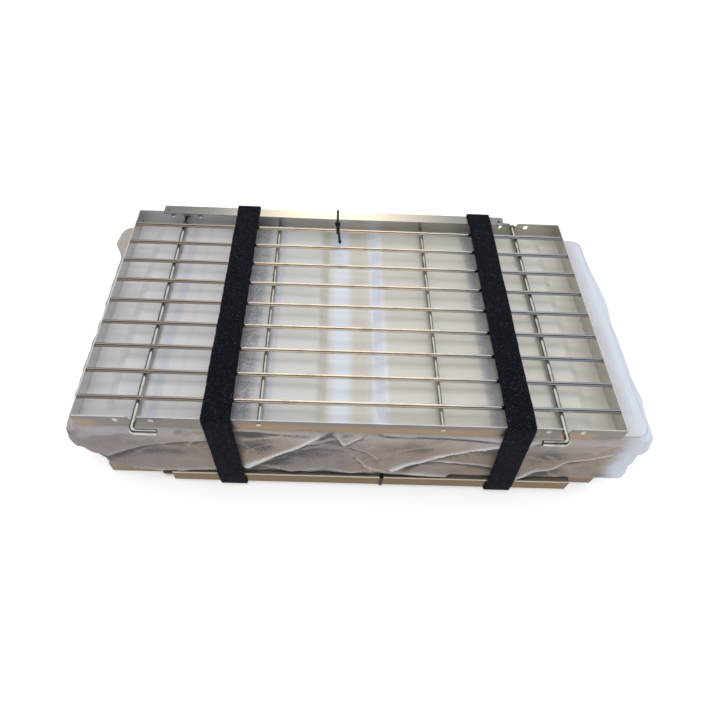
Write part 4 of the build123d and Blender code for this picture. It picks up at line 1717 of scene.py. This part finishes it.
        # Where the fabric paints its glow at the open end.
        start, run = self.open_end
        glow = np.clip((points[:, 0] - start) / run, 0, 1)
        for name, values in (("lift", lift), ("glow", glow)):
            bag.data.attributes.new(name, "FLOAT", "POINT").data.foreach_set("value", values)
        wall = bag.modifiers.new("cloth_thickness", "SOLIDIFY")
        wall.thickness = self.cloth * MM
        wall.offset = -1.0
        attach(bag, "pack")
        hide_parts("storage_bag")
        log.info("storage bag: %d points round, %d rings", count, len(rings))


# Studio


@dataclass
class Lamp:
    """A square soft lamp that looks at the bundle."""

    name: str
    place: Triple
    size: float
    power: float
    colour: Colour

    def build(self, target: Vector) -> None:
        """Makes the lamp, turned to the target.

        Args:
            target: What the lamp looks at.
        """
        light = bpy.data.lights.new(self.name, "AREA")
        light.energy, light.size, light.color = self.power, self.size, self.colour
        lamp = place_object(self.name, light)
        lamp.location = self.place
        lamp.visible_glossy = False
        lamp.rotation_euler = (target - Vector(self.place)).to_track_quat("-Z", "Y").to_euler()


@dataclass
class Studio:
    """Floor, lamps, surroundings and camera."""

    floor_size: float = 30.0
    target: Triple = (0.0, 0.0, 0.05)
    lamps: tuple[Lamp, ...] = (
        Lamp("rear_softbox", (0.3, 1.1, 2.0), 1.5, 9.0, (1.0, 0.98, 0.95)),
        Lamp("top_softbox", (-0.3, -0.55, 2.1), 0.9, 10.0, (1.0, 0.97, 0.94)),
        Lamp("right_softbox", (1.8, 0.4, 1.3), 1.1, 10.0, (0.86, 0.93, 1.0)),
        Lamp("front_softbox", (-0.4, -1.9, 0.9), 1.2, 6.0, (1.0, 0.95, 0.90)),
        Lamp("left_softbox", (-1.7, 0.2, 1.2), 1.0, 4.0, (1.0, 0.95, 0.90)),
    )
    camera_place: Triple = (-23.0, -334.8, 483.8)
    yaw: float = -2.01
    pitch: float = 53.98
    roll: float = -3.41
    lens: float = 27.05
    sensor: float = 36.0
    shift: Pair = (0.0328, -0.0090)

    def floor(self) -> None:
        """Makes the pale floor, which keeps the shadow of the bundle."""
        half = self.floor_size / 2
        corners = np.array([(-half, -half, 0), (half, -half, 0), (half, half, 0), (-half, half, 0)])
        material, graph = blank_material("pale_floor")
        matt = {"Base Color": (0.86, 0.86, 0.86, 1.0), "Roughness": 0.9}
        shader = graph.out("ShaderNodeBsdfPrincipled", matt)
        point = graph.object_point()
        aside, deep = (graph.axis(point, axis).size() for axis in (Axis.X, Axis.Y))
        reach = graph.math("MAXIMUM", aside, deep)
        strength = self.seen(graph) * (0.42 + reach.step(0.5, 1.6) * 0.5)
        glow = graph.out("ShaderNodeEmission", {"Strength": strength})
        both = graph.out("ShaderNodeAddShader", {0: shader, 1: glow})
        graph.node("ShaderNodeOutputMaterial", {"Surface": both})
        mesh_piece("studio_floor", corners, [(0, 1, 2, 3)], material, smooth=False)

    @staticmethod
    def seen(graph: Graph) -> Channel:
        """1 where the ray comes from the camera, or by way of metal or glass.

        Args:
            graph: The graph of the floor or the world.

        Returns:
            The channel.
        """
        path = graph.node("ShaderNodeLightPath").outputs
        camera, glossy, through = (
            Channel(graph, path[f"Is {kind} Ray"]) for kind in ("Camera", "Glossy", "Transmission")
        )
        return graph.math("MAXIMUM", graph.math("MAXIMUM", camera, glossy), through)

    def surroundings(self) -> None:
        """A white horizon under a softly darker ceiling, which the metal mirrors."""
        world = bpy.data.worlds.new("studio_surroundings")
        bpy.context.scene.world = world
        world.use_nodes = True
        world.node_tree.nodes.clear()
        graph = Graph(world.node_tree)
        toward = Channel(graph, graph.node("ShaderNodeTexCoord").outputs["Generated"])
        aside, depth, height = (graph.axis(toward, axis) for axis in Axis)
        high = height.step(0.50, 0.72)
        rear = graph.blend(high, (0.20, 0.16, 0.12), (0.92, 0.95, 1.02))
        middle = graph.blend(high, (1.50, 1.38, 1.18), (1.22, 1.19, 1.14))
        right = graph.blend(high, (0.44, 0.48, 0.56), (0.88, 0.84, 0.78))
        for start, end, colour in (
            (-0.34, -0.12, middle),
            (0.20, 0.44, right),
            (-0.54, -0.70, (0.10, 0.085, 0.07)),
            (0.62, 0.80, (0.50, 0.52, 0.56)),
        ):
            rear = graph.blend(aside.step(start, end), rear, colour)
        front = graph.blend(depth.step(-0.60, -0.80), (0.09, 0.082, 0.076), (0.62, 0.59, 0.56))
        room = graph.blend(depth.step(-0.08, 0.22), front, rear)
        sky = graph.blend(height.step(0.02, 0.16), (0.9, 0.9, 0.9), room)
        camera = Channel(graph, graph.node("ShaderNodeLightPath").outputs["Is Camera Ray"])
        backdrop = graph.blend(camera, sky, (1.0, 1.0, 1.0))
        shown = graph.out("ShaderNodeBackground", {"Color": backdrop, "Strength": 1.0})
        fill = graph.out("ShaderNodeBackground", {"Color": (0.93, 0.95, 1.0, 1.0), "Strength": 0.5})
        both = graph.out("ShaderNodeMixShader", {0: self.seen(graph), 1: fill, 2: shown})
        graph.node("ShaderNodeOutputWorld", {"Surface": both})

    def camera(self) -> None:
        """Makes the camera at the photograph's place and angle."""
        yaw, pitch, roll = (math.radians(angle) for angle in (self.yaw, self.pitch, self.roll))
        right = Vector((1, 0, 0))
        forward = Vector((0, math.cos(pitch), -math.sin(pitch)))
        down = forward.cross(right)
        rolled_right = right * math.cos(roll) + down * math.sin(roll)
        rolled_down = down * math.cos(roll) - right * math.sin(roll)
        turn = Matrix.Rotation(yaw, 3, "Z")
        axes = Matrix([turn @ rolled_right, turn @ -rolled_down, turn @ -forward]).transposed()
        lens = bpy.data.cameras.new("photo_camera")
        lens.lens, lens.sensor_width, lens.clip_start = self.lens, self.sensor, 0.01
        lens.shift_x, lens.shift_y = self.shift
        camera = place_object("photo_camera", lens)
        camera.matrix_world = Matrix.Translation(bundle(*self.camera_place)) @ axes.to_4x4()
        bpy.context.scene.camera = camera

    def build(self) -> None:
        """Sets up the whole studio."""
        for lamp in self.lamps:
            lamp.build(Vector(self.target))
        self.floor()
        self.surroundings()
        self.camera()
        bpy.context.scene.view_settings.view_transform = "Standard"


def main() -> None:
    """Builds every class in order."""
    logging.basicConfig(level=logging.INFO, format="%(message)s")
    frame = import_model()
    nodes = frame["nodes"]
    Studio().build()
    log.info("studio: floor, lamps and camera")
    racks = (
        RackDress(Rack.UPPER, (0.0, 0.0), 97.8, 93.7, RACK_SHEET),
        RackDress(Rack.LOWER, (7.3, -3.0), 4.8, 8.9, LOWER_SHEET),
    )
    for rack in racks:
        rack.dress(nodes)
        log.info("%s: dressed", rack.rack.value)
    StripsAndTies().dress(nodes)
    log.info("strips and ties: dressed")
    Firebox().dress(nodes)
    log.info("firebox: dressed")
    for strap in (Strap("left", -109.0, drift=6.0), Strap("right", 137.5, drift=3.0)):
        strap.build()
    StorageBag().build()


if __name__ == "__main__":
    main()
